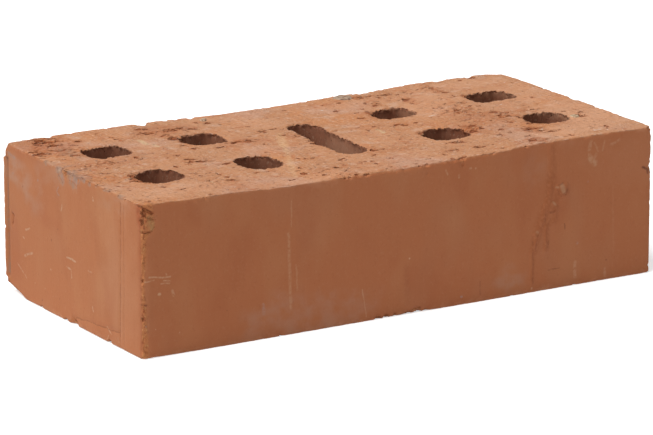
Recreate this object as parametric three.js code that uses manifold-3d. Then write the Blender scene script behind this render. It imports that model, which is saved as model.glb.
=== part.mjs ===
// A fired clay brick with nine through cores: four on each side of a long slot.
// The clay column is pushed through a die whose rods leave the cores, and wires cut it to height, so the
// section is the same all the way up and the two bed faces are the cut ones. The upper bed sagged before
// it was fired, and handling took flakes off the arrises. Millimetres, +Z up, origin in the middle of the
// lower bed face.

import * as THREE from 'three';
import { mergeVertices } from 'three/addons/utils/BufferGeometryUtils.js';
import Module from 'manifold-3d';

// The brick's outer sizes.
const LENGTH = 250;
const WIDTH = 120;
const HEIGHT = 65;
const ARRIS_RADIUS = 1.2;

// The cores' nominal size, and the corners of the squarer back row and of the rounder front row.
const CORE_WIDE = 19.4;
const BACK_CORE_DEEP = 16.8;
const FRONT_CORE_DEEP = 19.6;
const BACK_CORE_CORNER = 4.8;
const FRONT_CORE_CORNER = 7.2;

// The clay left between the cores and the faces.
const END_WEB = 20;
const ROW_WEB = 26.4;

// The long slot in the middle. Its ends are full round, and its lean is measured from the Y axis.
const SLOT_WIDE = 13.4;
const SLOT_LONG = 56.4;
const SLOT_SHIFT_Y = -1.3;
const SLOT_LEAN = THREE.MathUtils.degToRad(-3.2);

// How far the die's bridge, which holds the slot and the inner cores, stands off the middle, and how far
// the two rows of cores stand off it together.
const BRIDGE_SHIFT_X = -2.2;
const ROWS_SHIFT_Y = 1.3;

// How far the upper bed sags below the full height. Each station stands at a share of the half length,
// and gives the sag along the back arris and along the front one. From one to the next the bed is flat.
const SAG = [
  { at: -1.1, back: 0, front: 0.3 },
  { at: -0.76, back: 0, front: 0.8 },
  { at: -0.56, back: 0, front: 1.5 },
  { at: -0.4, back: 0.3, front: 1.9 },
  { at: -0.28, back: 0.9, front: 1.6 },
  { at: -0.16, back: 1.3, front: 1.4 },
  { at: 0.06, back: 1.25, front: 1.25 },
  { at: 0.22, back: 1.25, front: 1.25 },
  { at: 0.4, back: 0.65, front: 0.9 },
  { at: 0.55, back: 0.55, front: 0.1 },
  { at: 0.8, back: 0.25, front: 0.1 },
  { at: 1.1, back: 0.9, front: 0.5 },
];

// How far the wire's cut runs out past the faces.
const OVERCUT = 5;

// Facets: steps round a quarter turn, and the coarseness of the bite that a chip leaves.
const ARC_STEPS = 5;
const CHIP_DETAIL = 1;

// A chip's lump has its middle this many times its reach outside the faces, which makes the bite shallow.
const CHIP_OUTSET = 1;

const ROWS = {
  back: { side: 1, deep: BACK_CORE_DEEP, corner: BACK_CORE_CORNER },
  front: { side: -1, deep: FRONT_CORE_DEEP, corner: FRONT_CORE_CORNER },
};

// The eight square cores. Clay drags the rods aside and wears them, so each has a drift from its
// nominal place, along X and Y, and a growth over its nominal size.
const CORES = [
  { row: 'back', end: -1, inner: false, drift: [0.2, 0.9], growth: [-0.2, 0.3] },
  { row: 'back', end: -1, inner: true, drift: [-0.6, 1], growth: [-0.6, 0.4] },
  { row: 'back', end: 1, inner: true, drift: [0.8, -1.5], growth: [-0.6, -1] },
  { row: 'back', end: 1, inner: false, drift: [0.5, -0.5], growth: [1.8, -0.6] },
  { row: 'front', end: -1, inner: false, drift: [-0.1, 0.1], growth: [0.3, 0.1] },
  { row: 'front', end: -1, inner: true, drift: [0.9, 0.9], growth: [-1.3, 0.7] },
  { row: 'front', end: 1, inner: true, drift: [0.3, -0.2], growth: [-0.1, 0] },
  { row: 'front', end: 1, inner: false, drift: [-0.1, -0.8], growth: [-0.1, -1.2] },
];

// Chips out of the arrises. Each is measured in from one corner of the brick, named by the sides it
// lies on along X, Y and Z, and reaches this far from its middle along the same axes. Where it is not
// set in along an axis it lies on that face, and runs out over the arris.
const CHIPS = [
  { about: 'notch in the back top arris', corner: [-1, 1, 1], inset: [66, 0, 0], reach: [3.6, 5.5, 4] },
  { about: 'knocked top corner', corner: [-1, 1, 1], inset: [0, 0, 0], reach: [3, 4, 6] },
  { about: 'broken bottom corner', corner: [-1, 1, -1], inset: [0, 0, 0], reach: [5, 20, 5] },
  { about: 'worn top corner', corner: [1, 1, 1], inset: [0, 0, 0], reach: [11, 7, 1.9] },
  { about: 'flaked header arris', corner: [-1, 1, 1], inset: [0, 55, 0], reach: [1.4, 12, 4.5] },
  { about: 'nick under the header', corner: [-1, 1, -1], inset: [0, 62, 0], reach: [1.5, 3.5, 4] },
  { about: 'flake under the stretcher', corner: [-1, -1, -1], inset: [123, 0, 0], reach: [12, 1, 1.4] },
  { about: 'pit in the back top arris', corner: [1, 1, 1], inset: [17, 0, 0], reach: [3.5, 3, 1.6] },
  { about: 'step worn in the end arris', corner: [1, 1, 1], inset: [0, 60, 0], reach: [2, 5, 1.2] },
  { about: 'nick in the upright arris', corner: [1, -1, 1], inset: [0, 0, 18], reach: [2.4, 2, 2.5] },
  { about: 'bruised near corner', corner: [-1, -1, 1], inset: [0, 0, 0], reach: [3, 4, 2.5] },
];

const FIRED_CLAY = new THREE.MeshStandardMaterial({
  name: 'fired clay',
  color: 0xb9805b,
  roughness: 0.95,
  metalness: 0,
});

const wasm = await Module();
wasm.setup();

// A closed rounded rectangle about the origin, drawn counter-clockwise into a path.
function traceRoundedRectangle(path, wide, deep, radius) {
  const x = wide / 2 - radius;
  const y = deep / 2 - radius;
  const quarter = Math.PI / 2;
  path.absarc(x, y, radius, 0, quarter);
  path.absarc(-x, y, radius, quarter, 2 * quarter);
  path.absarc(-x, -y, radius, 2 * quarter, 3 * quarter);
  path.absarc(x, -y, radius, 3 * quarter, 4 * quarter);
  path.closePath();
  return path;
}

// The same outline as a hole, leaned about its own middle and moved to its place in the section.
function coreOutline(middle, wide, deep, radius, lean) {
  const outline = traceRoundedRectangle(new THREE.Path(), wide, deep, radius);
  const origin = new THREE.Vector2();
  const points = outline.getPoints(ARC_STEPS).map((point) => point.rotateAround(origin, lean).add(middle));
  return new THREE.Path(points);
}

// The nominal distance of a column of cores from the middle: the outer ones stand one end web inside
// the headers, and the inner ones midway between them and the slot.
function columnDistance(inner) {
  const outer = LENGTH / 2 - END_WEB - CORE_WIDE / 2;
  return inner ? (SLOT_WIDE / 2 + outer - CORE_WIDE / 2) / 2 : outer;
}

// Where a core's middle lies in the section.
function coreMiddle(core) {
  const row = ROWS[core.row];
  const bridge = core.inner ? BRIDGE_SHIFT_X : 0;
  const x = core.end * columnDistance(core.inner) + bridge + core.drift[0];
  const y = ROWS_SHIFT_Y + row.side * (ROW_WEB + row.deep) / 2 + core.drift[1];
  return new THREE.Vector2(x, y);
}

// One of the eight cores, as a hole in the section.
function squareCore(core) {
  const row = ROWS[core.row];
  const wide = CORE_WIDE + core.growth[0];
  const deep = row.deep + core.growth[1];
  return coreOutline(coreMiddle(core), wide, deep, row.corner, 0);
}

// The long slot, as a hole in the section.
function longSlot() {
  const middle = new THREE.Vector2(BRIDGE_SHIFT_X, SLOT_SHIFT_Y);
  return coreOutline(middle, SLOT_WIDE, SLOT_LONG, SLOT_WIDE / 2, SLOT_LEAN);
}

// The clay column cut to height: the section with its cores, pushed straight up.
function cutColumn() {
  const section = traceRoundedRectangle(new THREE.Shape(), LENGTH, WIDTH, ARRIS_RADIUS);
  section.holes = [...CORES.map(squareCore), longSlot()];
  return new THREE.ExtrudeGeometry(section, { depth: HEIGHT, bevelEnabled: false, curveSegments: ARC_STEPS });
}

// A closed solid between two outlines of as many points, drawn counter-clockwise in X and Z: the front one
// stands at -reach along Y and the back one at +reach.
function loft(front, back, reach) {
  const corners = [
    ...front.map((point) => new THREE.Vector3(point.x, -reach, point.y)),
    ...back.map((point) => new THREE.Vector3(point.x, reach, point.y)),
  ];
  const count = front.length;
  const faces = THREE.ShapeUtils.triangulateShape(front, []).flatMap(([a, b, c]) => [
    [a, b, c],
    [c + count, b + count, a + count],
  ]);
  front.forEach((point, index) => {
    const next = (index + 1) % count;
    faces.push([index, index + count, next], [next, index + count, next + count]);
  });
  const geometry = new THREE.BufferGeometry().setFromPoints(corners);
  geometry.setIndex(faces.flat());
  return geometry;
}

// What the sagged upper bed lacks of the full height, as one cut that is lofted from the front arris's
// line of sag to the back one's. Both lines are carried on to where the cut ends, past the faces.
function sagCut() {
  const spill = OVERCUT / WIDTH;
  const outline = (near, far) => [
    ...SAG.map((station) => {
      const sag = station[near] + (station[near] - station[far]) * spill;
      return new THREE.Vector2((station.at * LENGTH) / 2, HEIGHT - sag);
    }),
    new THREE.Vector2((SAG.at(-1).at * LENGTH) / 2, HEIGHT + OVERCUT),
    new THREE.Vector2((SAG.at(0).at * LENGTH) / 2, HEIGHT + OVERCUT),
  ];
  return loft(outline('front', 'back'), outline('back', 'front'), WIDTH / 2 + OVERCUT);
}

// The rough lump that a chip takes away. It stands outside the faces that it lies on, and is swollen so
// that it still cuts those faces at its reach.
function chipLump(chip) {
  const across = chip.inset.filter((inset) => inset === 0).length;
  const swell = Math.hypot(1 + CHIP_OUTSET, CHIP_OUTSET * Math.sqrt(across - 1));
  const along = 1 / Math.sqrt(Math.max(1 - across * (CHIP_OUTSET / swell) ** 2, 0.25));
  const far = [LENGTH / 2, WIDTH / 2, HEIGHT / 2];
  const isAcross = chip.inset.map((inset) => inset === 0);
  const size = chip.reach.map((reach, axis) => reach * (isAcross[axis] ? swell : along));
  const place = chip.corner.map((side, axis) => {
    const outset = isAcross[axis] ? CHIP_OUTSET * chip.reach[axis] : 0;
    return side * (far[axis] - chip.inset[axis] + outset);
  });
  const lump = new THREE.IcosahedronGeometry(1, CHIP_DETAIL);
  lump.scale(...size);
  lump.translate(place[0], place[1], place[2] + HEIGHT / 2);
  return lump;
}

// A closed geometry as a solid that can be joined and cut.
function solidOf(geometry) {
  geometry.deleteAttribute('normal');
  geometry.deleteAttribute('uv');
  const merged = mergeVertices(geometry, 1e-4);
  return new wasm.Manifold(new wasm.Mesh({
    numProp: 3,
    vertProperties: new Float32Array(merged.attributes.position.array),
    triVerts: new Uint32Array(merged.index.array),
  }));
}

// A solid back as a geometry with flat-shaded faces.
function geometryOf(solid) {
  const mesh = solid.getMesh();
  const geometry = new THREE.BufferGeometry();
  geometry.setAttribute('position', new THREE.BufferAttribute(mesh.vertProperties, 3));
  geometry.setIndex(new THREE.BufferAttribute(mesh.triVerts, 1));
  geometry.computeVertexNormals();
  return geometry;
}

// The whole brick: the cut column less what its upper bed sagged and less its chips.
function makeBrick() {
  const column = solidOf(cutColumn()).subtract(solidOf(sagCut()));
  const chipped = CHIPS.reduce((clay, chip) => clay.subtract(solidOf(chipLump(chip))), column);
  const brick = new THREE.Mesh(geometryOf(chipped), FIRED_CLAY);
  brick.name = 'brick';
  return brick;
}

const group = new THREE.Group();
group.add(makeBrick());

export default group;
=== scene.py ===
"""A fired, wire-cut clay brick with nine through cores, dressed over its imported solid.

The clay column leaves its die with smooth, faintly streaked sides. Wires cut it to height and tear the
two bed faces, and drying, firing, stacking and handling warp it and chip its arrises. All of that is one
closed mesh here, with a few stones set in its upper bed. Places and sizes are in millimetres until a mesh
is written: X along the stretchers, Y along the headers and Z up through the cores.
"""

import logging
import math
from dataclasses import dataclass
from enum import Enum
from typing import Protocol

import bmesh
import bpy
import numpy as np
from mathutils import Matrix, Vector, kdtree


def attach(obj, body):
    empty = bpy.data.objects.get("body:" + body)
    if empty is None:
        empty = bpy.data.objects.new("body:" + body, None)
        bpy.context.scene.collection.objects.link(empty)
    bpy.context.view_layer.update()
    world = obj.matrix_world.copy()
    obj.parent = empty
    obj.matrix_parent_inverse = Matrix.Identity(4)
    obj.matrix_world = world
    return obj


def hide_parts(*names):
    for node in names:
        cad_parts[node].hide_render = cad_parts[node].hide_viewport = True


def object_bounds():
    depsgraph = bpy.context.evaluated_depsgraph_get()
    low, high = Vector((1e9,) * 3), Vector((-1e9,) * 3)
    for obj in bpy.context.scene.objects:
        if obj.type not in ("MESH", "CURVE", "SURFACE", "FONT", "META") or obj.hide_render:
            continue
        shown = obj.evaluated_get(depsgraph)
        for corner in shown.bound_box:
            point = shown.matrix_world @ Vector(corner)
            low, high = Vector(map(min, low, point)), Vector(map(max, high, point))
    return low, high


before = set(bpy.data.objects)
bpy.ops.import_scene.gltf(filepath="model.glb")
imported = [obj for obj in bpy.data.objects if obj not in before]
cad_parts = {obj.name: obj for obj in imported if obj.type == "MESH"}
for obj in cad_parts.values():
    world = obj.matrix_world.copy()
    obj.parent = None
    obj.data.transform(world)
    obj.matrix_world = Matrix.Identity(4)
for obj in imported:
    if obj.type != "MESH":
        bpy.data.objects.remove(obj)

MM = 0.001
CAD_BOX = [list(corner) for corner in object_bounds()]
HALF_LONG = CAD_BOX[1][0] / MM
HALF_WIDE = CAD_BOX[1][1] / MM
HIGH = CAD_BOX[1][2] / MM
WHITE = "#FFFFFF"
Row = tuple[float, ...]
Value = bpy.types.NodeSocket | float
# A smooth step is level at both ends, so it needs no clamp of its own.
SMOOTH = {"interpolation_type": "SMOOTHSTEP", "clamp": False}
log = logging.getLogger("clay_brick")


def linear(colour: str) -> tuple[float, float, float, float]:
    """Turns an sRGB hex colour into linear light.

    Args:
        colour: Six hex digits after a hash sign.

    Returns:
        Linear red, green, blue and an alpha of 1.
    """
    shares = [int(colour[i : i + 2], 16) / 255 for i in (1, 3, 5)]
    light = [s / 12.92 if s <= 0.04045 else ((s + 0.055) / 1.055) ** 2.4 for s in shares]
    return (*light, 1.0)


def ramp(value: np.ndarray, low: float, high: float) -> np.ndarray:
    """A smooth step from 0 at low to 1 at high."""
    share = np.clip((value - low) / (high - low), 0, 1)
    return share * share * (3 - 2 * share)


def fall(value: np.ndarray, low: float, high: float) -> np.ndarray:
    """A smooth step from 1 at low to 0 at high."""
    return 1 - ramp(value, low, high)


def points_of(mesh: bpy.types.Mesh) -> np.ndarray:
    """Reads a mesh's points.

    Args:
        mesh: The mesh.

    Returns:
        A row of three numbers for each point, in metres.
    """
    flat = np.zeros(len(mesh.vertices) * 3, np.float32)
    mesh.vertices.foreach_get("co", flat)
    return flat.reshape(-1, 3)


def merged(mesh: bpy.types.Mesh, gap: float = 1e-6) -> bmesh.types.BMesh:
    """Copies a mesh into a bmesh and joins the points that lie on one spot.

    Args:
        mesh: The mesh, which isn't changed.
        gap: How near two points are joined, in metres.

    Returns:
        The copy, which the caller frees.
    """
    bm = bmesh.new()
    bm.from_mesh(mesh)
    bmesh.ops.remove_doubles(bm, verts=bm.verts, dist=gap)
    return bm


def add_object(name: str, data: bpy.types.ID) -> bpy.types.Object:
    """Puts an object into the scene, at the origin.

    Args:
        name: Its name.
        data: Its mesh, light or camera.

    Returns:
        The object.
    """
    thing = bpy.data.objects.new(name, data)
    bpy.context.scene.collection.objects.link(thing)
    return thing


def add_mesh(name: str, bm: bmesh.types.BMesh) -> bpy.types.Object:
    """Puts a bmesh into the scene as an object, and frees it.

    Args:
        name: The name of the object and of its mesh.
        bm: The shape.

    Returns:
        The object.
    """
    mesh = bpy.data.meshes.new(name)
    bm.to_mesh(mesh)
    bm.free()
    return add_object(name, mesh)


class Grain:
    """Smooth repeatable noise over arrays of points, from one seeded lattice."""

    SIDE = 64
    OCTAVE_SHIFT = 17.3  # Keeps the layers' cells apart.
    GAIN = 1.6  # Brings the sum of the layers back to about -1 to 1.

    def __init__(self, seed: int) -> None:
        """Fills the lattice from the seed."""
        self.lattice = np.random.default_rng(seed).uniform(-1, 1, self.SIDE**3).astype(np.float32)

    def layer(self, points: np.ndarray) -> np.ndarray:
        """One layer of noise with a cell of one unit.

        Args:
            points: Places, one row of three numbers each.

        Returns:
            A value between -1 and 1 for each place.
        """
        cell = np.floor(points).astype(np.int32)
        part = (points - cell).astype(np.float32)
        across, along, up = (part * part * (3 - 2 * part)).T
        low, high = (cell % self.SIDE).T, ((cell + 1) % self.SIDE).T
        planes = []
        for x in (low[0], high[0]):
            rows = []
            for y in (low[1], high[1]):
                row = (x * self.SIDE + y) * self.SIDE
                near, far = self.lattice[row + low[2]], self.lattice[row + high[2]]
                rows.append(near + (far - near) * up)
            planes.append(rows[0] + (rows[1] - rows[0]) * along)
        return planes[0] + (planes[1] - planes[0]) * across

    def layers(self, points: np.ndarray, cell: Row, octaves: int = 1) -> np.ndarray:
        """Noise of several octaves.

        Args:
            points: Places in millimetres.
            cell: The coarsest cell's sides in millimetres along X, Y and Z.
            octaves: How many layers are added, each half as big and half as strong.

        Returns:
            A value of about -1 to 1 for each place.
        """
        scaled = points / np.array(cell)
        total = sum(self.layer(scaled * 2**n + self.OCTAVE_SHIFT * n) / 2**n for n in range(octaves))
        return total / (2 - 0.5 ** (octaves - 1)) * self.GAIN


class Bed(Enum):
    """The two wire-cut faces, each with the way it looks along Z."""

    TOP = 1
    UNDERSIDE = -1


class Wall(Enum):
    """The faces that carry marks: the axis along each, the axis up it, the axis it looks along and which way."""

    HEADER = (1, 2, 0, -1)
    STRETCHER = (0, 2, 1, -1)
    BED = (0, 1, 2, 1)
    FAR_HEADER = (1, 2, 0, 1)
    BACK_STRETCHER = (0, 2, 1, 1)

    def point(self, along: float, up: float) -> Vector:
        """Turns the face's two coordinates into a place.

        Args:
            along: How far along the face, in millimetres.
            up: How far up it.

        Returns:
            The place, in millimetres.
        """
        side = self.value[3]
        place = [side * HALF_LONG, side * HALF_WIDE, HIGH]
        place[self.value[0]], place[self.value[1]] = along, up
        return Vector(place)


class Plan:
    """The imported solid's walls seen from above: where they stand, and where the clay lies behind them."""

    STEP = 0.25  # Millimetres between samples, at most.
    ON_CUT = 1e-7  # A point this near the cut, in metres, lies on it.

    def __init__(self, solid: bpy.types.Object) -> None:
        """Cuts a merged copy of the solid at half its height and samples the walls along the cut.

        Args:
            solid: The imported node, whose mesh isn't changed.
        """
        bm = merged(solid.data)
        cut = bmesh.ops.bisect_plane(
            bm,
            geom=[*bm.verts, *bm.edges, *bm.faces],
            dist=self.ON_CUT,
            plane_co=(0, 0, HIGH * MM / 2),
            plane_no=(0, 0, 1),
            clear_outer=True,
        )
        edges = [part for part in cut["geom_cut"] if isinstance(part, bmesh.types.BMEdge)]
        rings = self._rings(edges)
        feet, inward, ring = [], [], []
        for number, members in enumerate(rings):
            for edge in members:
                start, end = (np.array(v.co)[:2] / MM for v in edge.verts)
                steps = max(1, math.ceil(np.linalg.norm(end - start) / self.STEP))
                shares = (np.arange(steps) + 0.5)[:, None] / steps
                feet.append(start + (end - start) * shares)
                into = -np.array(edge.link_faces[0].normal)[:2]
                inward.append(np.tile(into / np.linalg.norm(into), (steps, 1)))
                ring.append(np.full(steps, number))
        bm.free()
        self.feet = np.concatenate(feet)
        self.inward = np.concatenate(inward)
        self.ring = np.concatenate(ring)
        self.tree = kdtree.KDTree(len(self.feet))
        for index, (x, y) in enumerate(self.feet):
            self.tree.insert((x, y, 0), index)
        self.tree.balance()

    def _rings(self, edges: list[bmesh.types.BMEdge]) -> list[list[bmesh.types.BMEdge]]:
        """Sorts the cut's edges into closed rings.

        Args:
            edges: The edges of the cut.

        Returns:
            The outer ring first, then one ring for each core.
        """
        left = {edge: None for edge in sorted(edges, key=lambda edge: edge.index)}
        rings = []
        while left:
            front = [next(iter(left))]
            del left[front[0]]
            ring = []
            while front:
                edge = front.pop()
                ring.append(edge)
                for beside in (other for vert in edge.verts for other in vert.link_edges if other in left):
                    del left[beside]
                    front.append(beside)
            rings.append(ring)
        return sorted(rings, key=lambda ring: min(vert.co.x for edge in ring for vert in edge.verts))

    def nearest(self, points: np.ndarray) -> np.ndarray:
        """Finds each point's nearest wall sample in plan.

        Args:
            points: Places in millimetres.

        Returns:
            The samples' numbers.
        """
        return np.array([self.tree.find((x, y, 0))[1] for x, y in points[:, :2]])


@dataclass(frozen=True)
class SolidBed:
    """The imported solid's sagged upper bed: flat facets lofted between stations along the brick.

    Each station gives its place along the brick as a share of the half length, and how far the bed's back
    and front arrises lie below the box there. The facets run past both stretchers by the overcut.
    """

    stations: tuple[Row, ...]
    overcut: float = 5.0

    def drop(self, x: np.ndarray, y: np.ndarray) -> np.ndarray:
        """Measures how far the solid's bed lies below its box.

        Args:
            x: Places along the brick in millimetres.
            y: Places across it.

        Returns:
            The drop at each place, in millimetres.
        """
        share, back, front = np.array(self.stations).T
        spill = (back - front) * self.overcut / (2 * HALF_WIDE)
        back, front, along = back + spill, front - spill, share * HALF_LONG
        at = np.clip(np.searchsorted(along, x, "right") - 1, 0, len(along) - 2)
        u = (x - along[at]) / (along[at + 1] - along[at])
        v = (y + HALF_WIDE + self.overcut) / (2 * (HALF_WIDE + self.overcut))
        near = front[at] + u * (front[at + 1] - front[at]) + v * (back[at] - front[at])
        far = back[at + 1] + (1 - u) * (back[at] - back[at + 1]) + (1 - v) * (front[at + 1] - back[at + 1])
        return np.where(u + v <= 1, near, far)


class Skin:
    """The dense mesh's points, and where each one lies on the brick before it sagged."""

    MASKS = ("bed", "bore", "tear", "rough", "grit", "grime", "haze", "ember_and_shade", "pale")
    FADE = 5.0  # How deep below a surface its marks still move the clay, in millimetres.

    def __init__(self, mesh: bpy.types.Mesh, plan: Plan, bed: SolidBed, grain: Grain) -> None:
        """Reads the mesh's points, takes the solid's sag out and measures them against the walls.

        Args:
            mesh: The dense mesh, in metres.
            plan: The walls in plan.
            bed: The sagged bed that the mesh still has.
            grain: The noise that makes what is done to the clay uneven.
        """
        self.grain = grain
        self.rest = points_of(mesh).astype(float) / MM
        self.rest[:, 2] *= HIGH / (HIGH - bed.drop(self.rest[:, 0], self.rest[:, 1]))
        self.place = self.rest.copy()
        near = plan.nearest(self.rest)
        self.foot = plan.feet[near]
        self.inward = plan.inward[near]
        ring = plan.ring[near]
        self.outer, self.bore = ring == 0, (ring > 0) * 1.0
        self.from_wall = np.linalg.norm(self.rest[:, :2] - self.foot, axis=1)
        self.masks = {name: np.zeros(len(self.rest), np.float32) for name in self.MASKS}

    def depth(self, bed: Bed) -> np.ndarray:
        """How far each point lies from a bed at rest."""
        return HIGH - self.rest[:, 2] if bed is Bed.TOP else self.rest[:, 2].copy()

    def noise(self, cell: Row, octaves: int = 1) -> np.ndarray:
        """The grain's noise at every point, with a cell in millimetres."""
        return self.grain.layers(self.rest, cell, octaves)

    def nearest_bed(self) -> np.ndarray:
        """How far each point lies from the nearer bed at rest."""
        return np.minimum(self.depth(Bed.TOP), self.depth(Bed.UNDERSIDE))

    def press(self, bed: Bed, amount: np.ndarray) -> None:
        """Moves the points near a bed into the clay by an amount in millimetres."""
        self.place[:, 2] -= bed.value * amount * fall(self.depth(bed), 0, self.FADE)

    def push(self, amount: np.ndarray) -> None:
        """Moves the points near a wall into the clay by an amount in millimetres."""
        near = amount * fall(self.from_wall, 0, self.FADE)
        self.place[:, :2] += self.inward * near[:, None]

    def mark(self, name: str, value: np.ndarray) -> None:
        """Raises a mask to at least a value."""
        self.masks[name] = np.maximum(self.masks[name], value.astype(np.float32))

    def write(self, mesh: bpy.types.Mesh) -> None:
        """Writes the moved points and the masks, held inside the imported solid's box.

        Args:
            mesh: The mesh that the points were read from.
        """
        edge = np.array([HALF_LONG, HALF_WIDE])
        self.place[:, :2] = np.clip(self.place[:, :2], -edge, edge)
        self.place[:, 2] = np.clip(self.place[:, 2], 0, HIGH)
        mesh.vertices.foreach_set("co", (self.place * MM).astype(np.float32).ravel())
        for name, value in self.masks.items():
            mesh.attributes.new(name, "FLOAT", "POINT").data.foreach_set("value", np.clip(value, 0, 1))
        mesh.update()


class Relief(Protocol):
    """One thing that making or use did to the clay."""

    def shape(self, skin: Skin) -> None:
        """Moves the skin's points and raises its masks."""


@dataclass(frozen=True)
class Arrises:
    """Edges between the beds and the walls, rubbed round and crumbled unevenly.

    Outer sizes belong to the arrises of the faces, and rim sizes to the mouths of the cores. The near long
    arris is rubbed rounder than the rest, by the radii in soft at places along the brick.
    """

    outer: float = 0.35
    outer_ragged: float = 0.9
    outer_tooth: float = 0.12
    back_ragged: float = 1.9
    rim: float = 0.12
    rim_ragged: float = 0.6
    rim_tooth: float = 0.2
    teeth: float = 0.5
    crumble: float = 0.25
    back_crumble: float = 0.95
    foot_share: float = 0.4
    narrowest: float = 0.08
    widest: float = 3.2
    corner_share: float = 0.35
    corner_reach: float = 7
    back_edge: Row = (50, 58)
    front_edge: float = -55
    between_beds: float = 40.0
    crumb_cell: Row = (3.4, 3.4, 9)
    tooth_cell: Row = (1.3, 1.3, 9)
    sway_cell: Row = (7, 7, 9)
    lump_cell: Row = (2.6, 2.6, 5)
    bared: Row = (0.25, 0.5, 0.5)
    soft: tuple[Row, ...] = (
        (-60, 0.0), (-34, 0.3), (-24, 1.8), (-8, 2.4), (12, 2.2), (30, 1.6), (50, 0.9), (66, 0.5), (82, 0.9),
        (98, 0.5), (112, 0.7), (125, 0.3),
    )

    def shape(self, skin: Skin) -> None:
        """Rolls each bed into the walls over a radius that changes along the edge, and wears the edge down.

        Args:
            skin: The clay to move and mark.
        """
        for bed in Bed:
            self._edge(skin, bed)

    def _edge(self, skin: Skin, bed: Bed) -> None:
        """Rolls and wears all the edges of one bed.

        Args:
            skin: The clay to move and mark.
            bed: The bed.
        """
        x, y = skin.foot.T
        along = np.column_stack([skin.foot, np.full(len(skin.foot), self.between_beds * bed.value)])
        crumb = np.clip(skin.grain.layers(along, self.crumb_cell, 3), 0, None)
        tooth = skin.grain.layers(along, self.tooth_cell, 2)
        corner = np.hypot(x + HALF_LONG, y - HALF_WIDE)
        back = ramp(y, *self.back_edge) * (bed is Bed.TOP) * ramp(corner, 3, 10)
        worn = 1.0 if bed is Bed.TOP else self.foot_share
        ragged = (self.outer_ragged + (self.back_ragged - self.outer_ragged) * back) * worn
        soft = np.interp(x, *zip(*self.soft)) * (y < self.front_edge) * (bed is Bed.TOP)
        outer = self.outer + ragged * crumb**1.3 + self.outer_tooth * tooth
        sharp = self.corner_share + (1 - self.corner_share) * ramp(corner, 1, self.corner_reach)
        sway = skin.grain.layers(along, self.sway_cell, 3)
        outer = outer * sharp + soft * (0.85 + 0.35 * sway + 0.1 * tooth)
        teeth = self.teeth * ramp(tooth, 0.25, 0.6)
        rim = self.rim + self.rim_ragged * crumb**2 + self.rim_tooth * tooth + teeth
        self._roll(skin, bed, np.clip(np.where(skin.outer, outer, rim), self.narrowest, self.widest))
        wear = (self.crumble + (self.back_crumble - self.crumble) * back) * worn
        lumps = sway + 0.5 * skin.noise(self.lump_cell, 2)
        near = skin.outer * fall(skin.from_wall, 1.5, 5)
        skin.press(bed, wear * np.clip(lumps, 0, 1.2) * near * sharp)
        worn_soft = ramp(soft, 0.5, 1.8) * near * fall(skin.depth(bed), 0.5, 2.5 + 1.2 * tooth)
        rough, ember_and_shade, tear = self.bared
        skin.mark("rough", rough * worn_soft)
        skin.mark("ember_and_shade", ember_and_shade * worn_soft * ramp(skin.depth(bed), 0.2, 1.2))
        skin.mark("tear", tear * worn_soft * ramp(crumb, 0.3, 0.7))

    def _roll(self, skin: Skin, bed: Bed, radius: np.ndarray) -> None:
        """Brings the points outside the rounding back onto it.

        Args:
            skin: The points.
            bed: Which bed's edges are rolled.
            radius: The rounding at each point.
        """
        across, down = skin.from_wall - radius, skin.depth(bed) - radius
        reach = np.hypot(across, down)
        corner = (across < 0) & (down < 0) & (reach > radius)
        back = np.where(corner, radius / np.maximum(reach, 1e-6) - 1, 0)
        skin.place[:, :2] += skin.inward * (across * back)[:, None]
        skin.place[:, 2] -= bed.value * down * back


@dataclass(frozen=True)
class Knocks:
    """Small chips knocked out of the arrises, each with its middle and its reach."""

    chips: tuple[Row, ...]
    deep: float = 0.55
    at_face: float = 1.5
    bare: float = 0.3
    rough: float = 0.15
    tear: float = 0.5
    cell: Row = (1.5, 1.5, 1.5)

    def shape(self, skin: Skin) -> None:
        """Drives the points round each chip's middle into the clay, and bares its sandy inside.

        Args:
            skin: The clay to move and mark.
        """
        wobble = 0.4 * skin.noise(self.cell, 2)
        limit = np.array((HALF_LONG, HALF_WIDE, HIGH / 2))
        for x, y, z, reach in self.chips:
            away = np.array((x, y, z - HIGH / 2))
            into = -np.sign(away) * (np.abs(away) > limit - self.at_face)
            gap = np.linalg.norm(skin.rest - (x, y, z), axis=1) / reach
            near = np.flatnonzero(gap < 1.4)
            bite = fall(gap[near] + wobble[near], 0.15, 1)
            skin.place[near] += into / np.linalg.norm(into) * (self.deep * reach * bite)[:, None]
            broken = np.zeros(len(skin.rest))
            broken[near] = bite
            skin.mark("grit", self.bare * ramp(broken, 0.1, 0.5))
            skin.mark("rough", self.rough * ramp(broken, 0.1, 0.5))
            skin.mark("tear", self.tear * ramp(broken, 0.2, 0.6))


@dataclass(frozen=True)
class Faces:
    """Tells the beds, the walls, the core walls and the broken places apart."""

    stretcher_painted_shade: float = 0.3
    inner_tear: float = 0.4
    cell: Row = (1.6, 1.6, 1.6)

    def shape(self, skin: Skin) -> None:
        """Sets the masks that follow from where a point lies.

        Args:
            skin: The clay to move and mark.
        """
        nearest_bed = skin.nearest_bed()
        fray = 0.35 * skin.noise(self.cell, 2)
        skin.mark("bed", ramp(skin.from_wall - nearest_bed + fray, -0.5, 0.5))
        skin.mark("bore", skin.bore)
        # The stretcher face gets a deeper, redder ember tone: painted shade for the shade that face lies in.
        stretcher = skin.outer * ramp(skin.inward[:, 1], 0.5, 0.9)
        skin.mark("ember_and_shade", self.stretcher_painted_shade * stretcher * (1 - skin.masks["bed"]))
        inside = np.minimum(skin.from_wall, nearest_bed)
        skin.mark("tear", self.inner_tear * ramp(inside, 0.35, 0.9))
        skin.mark("grit", ramp(inside, 0.3, 0.8))


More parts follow.
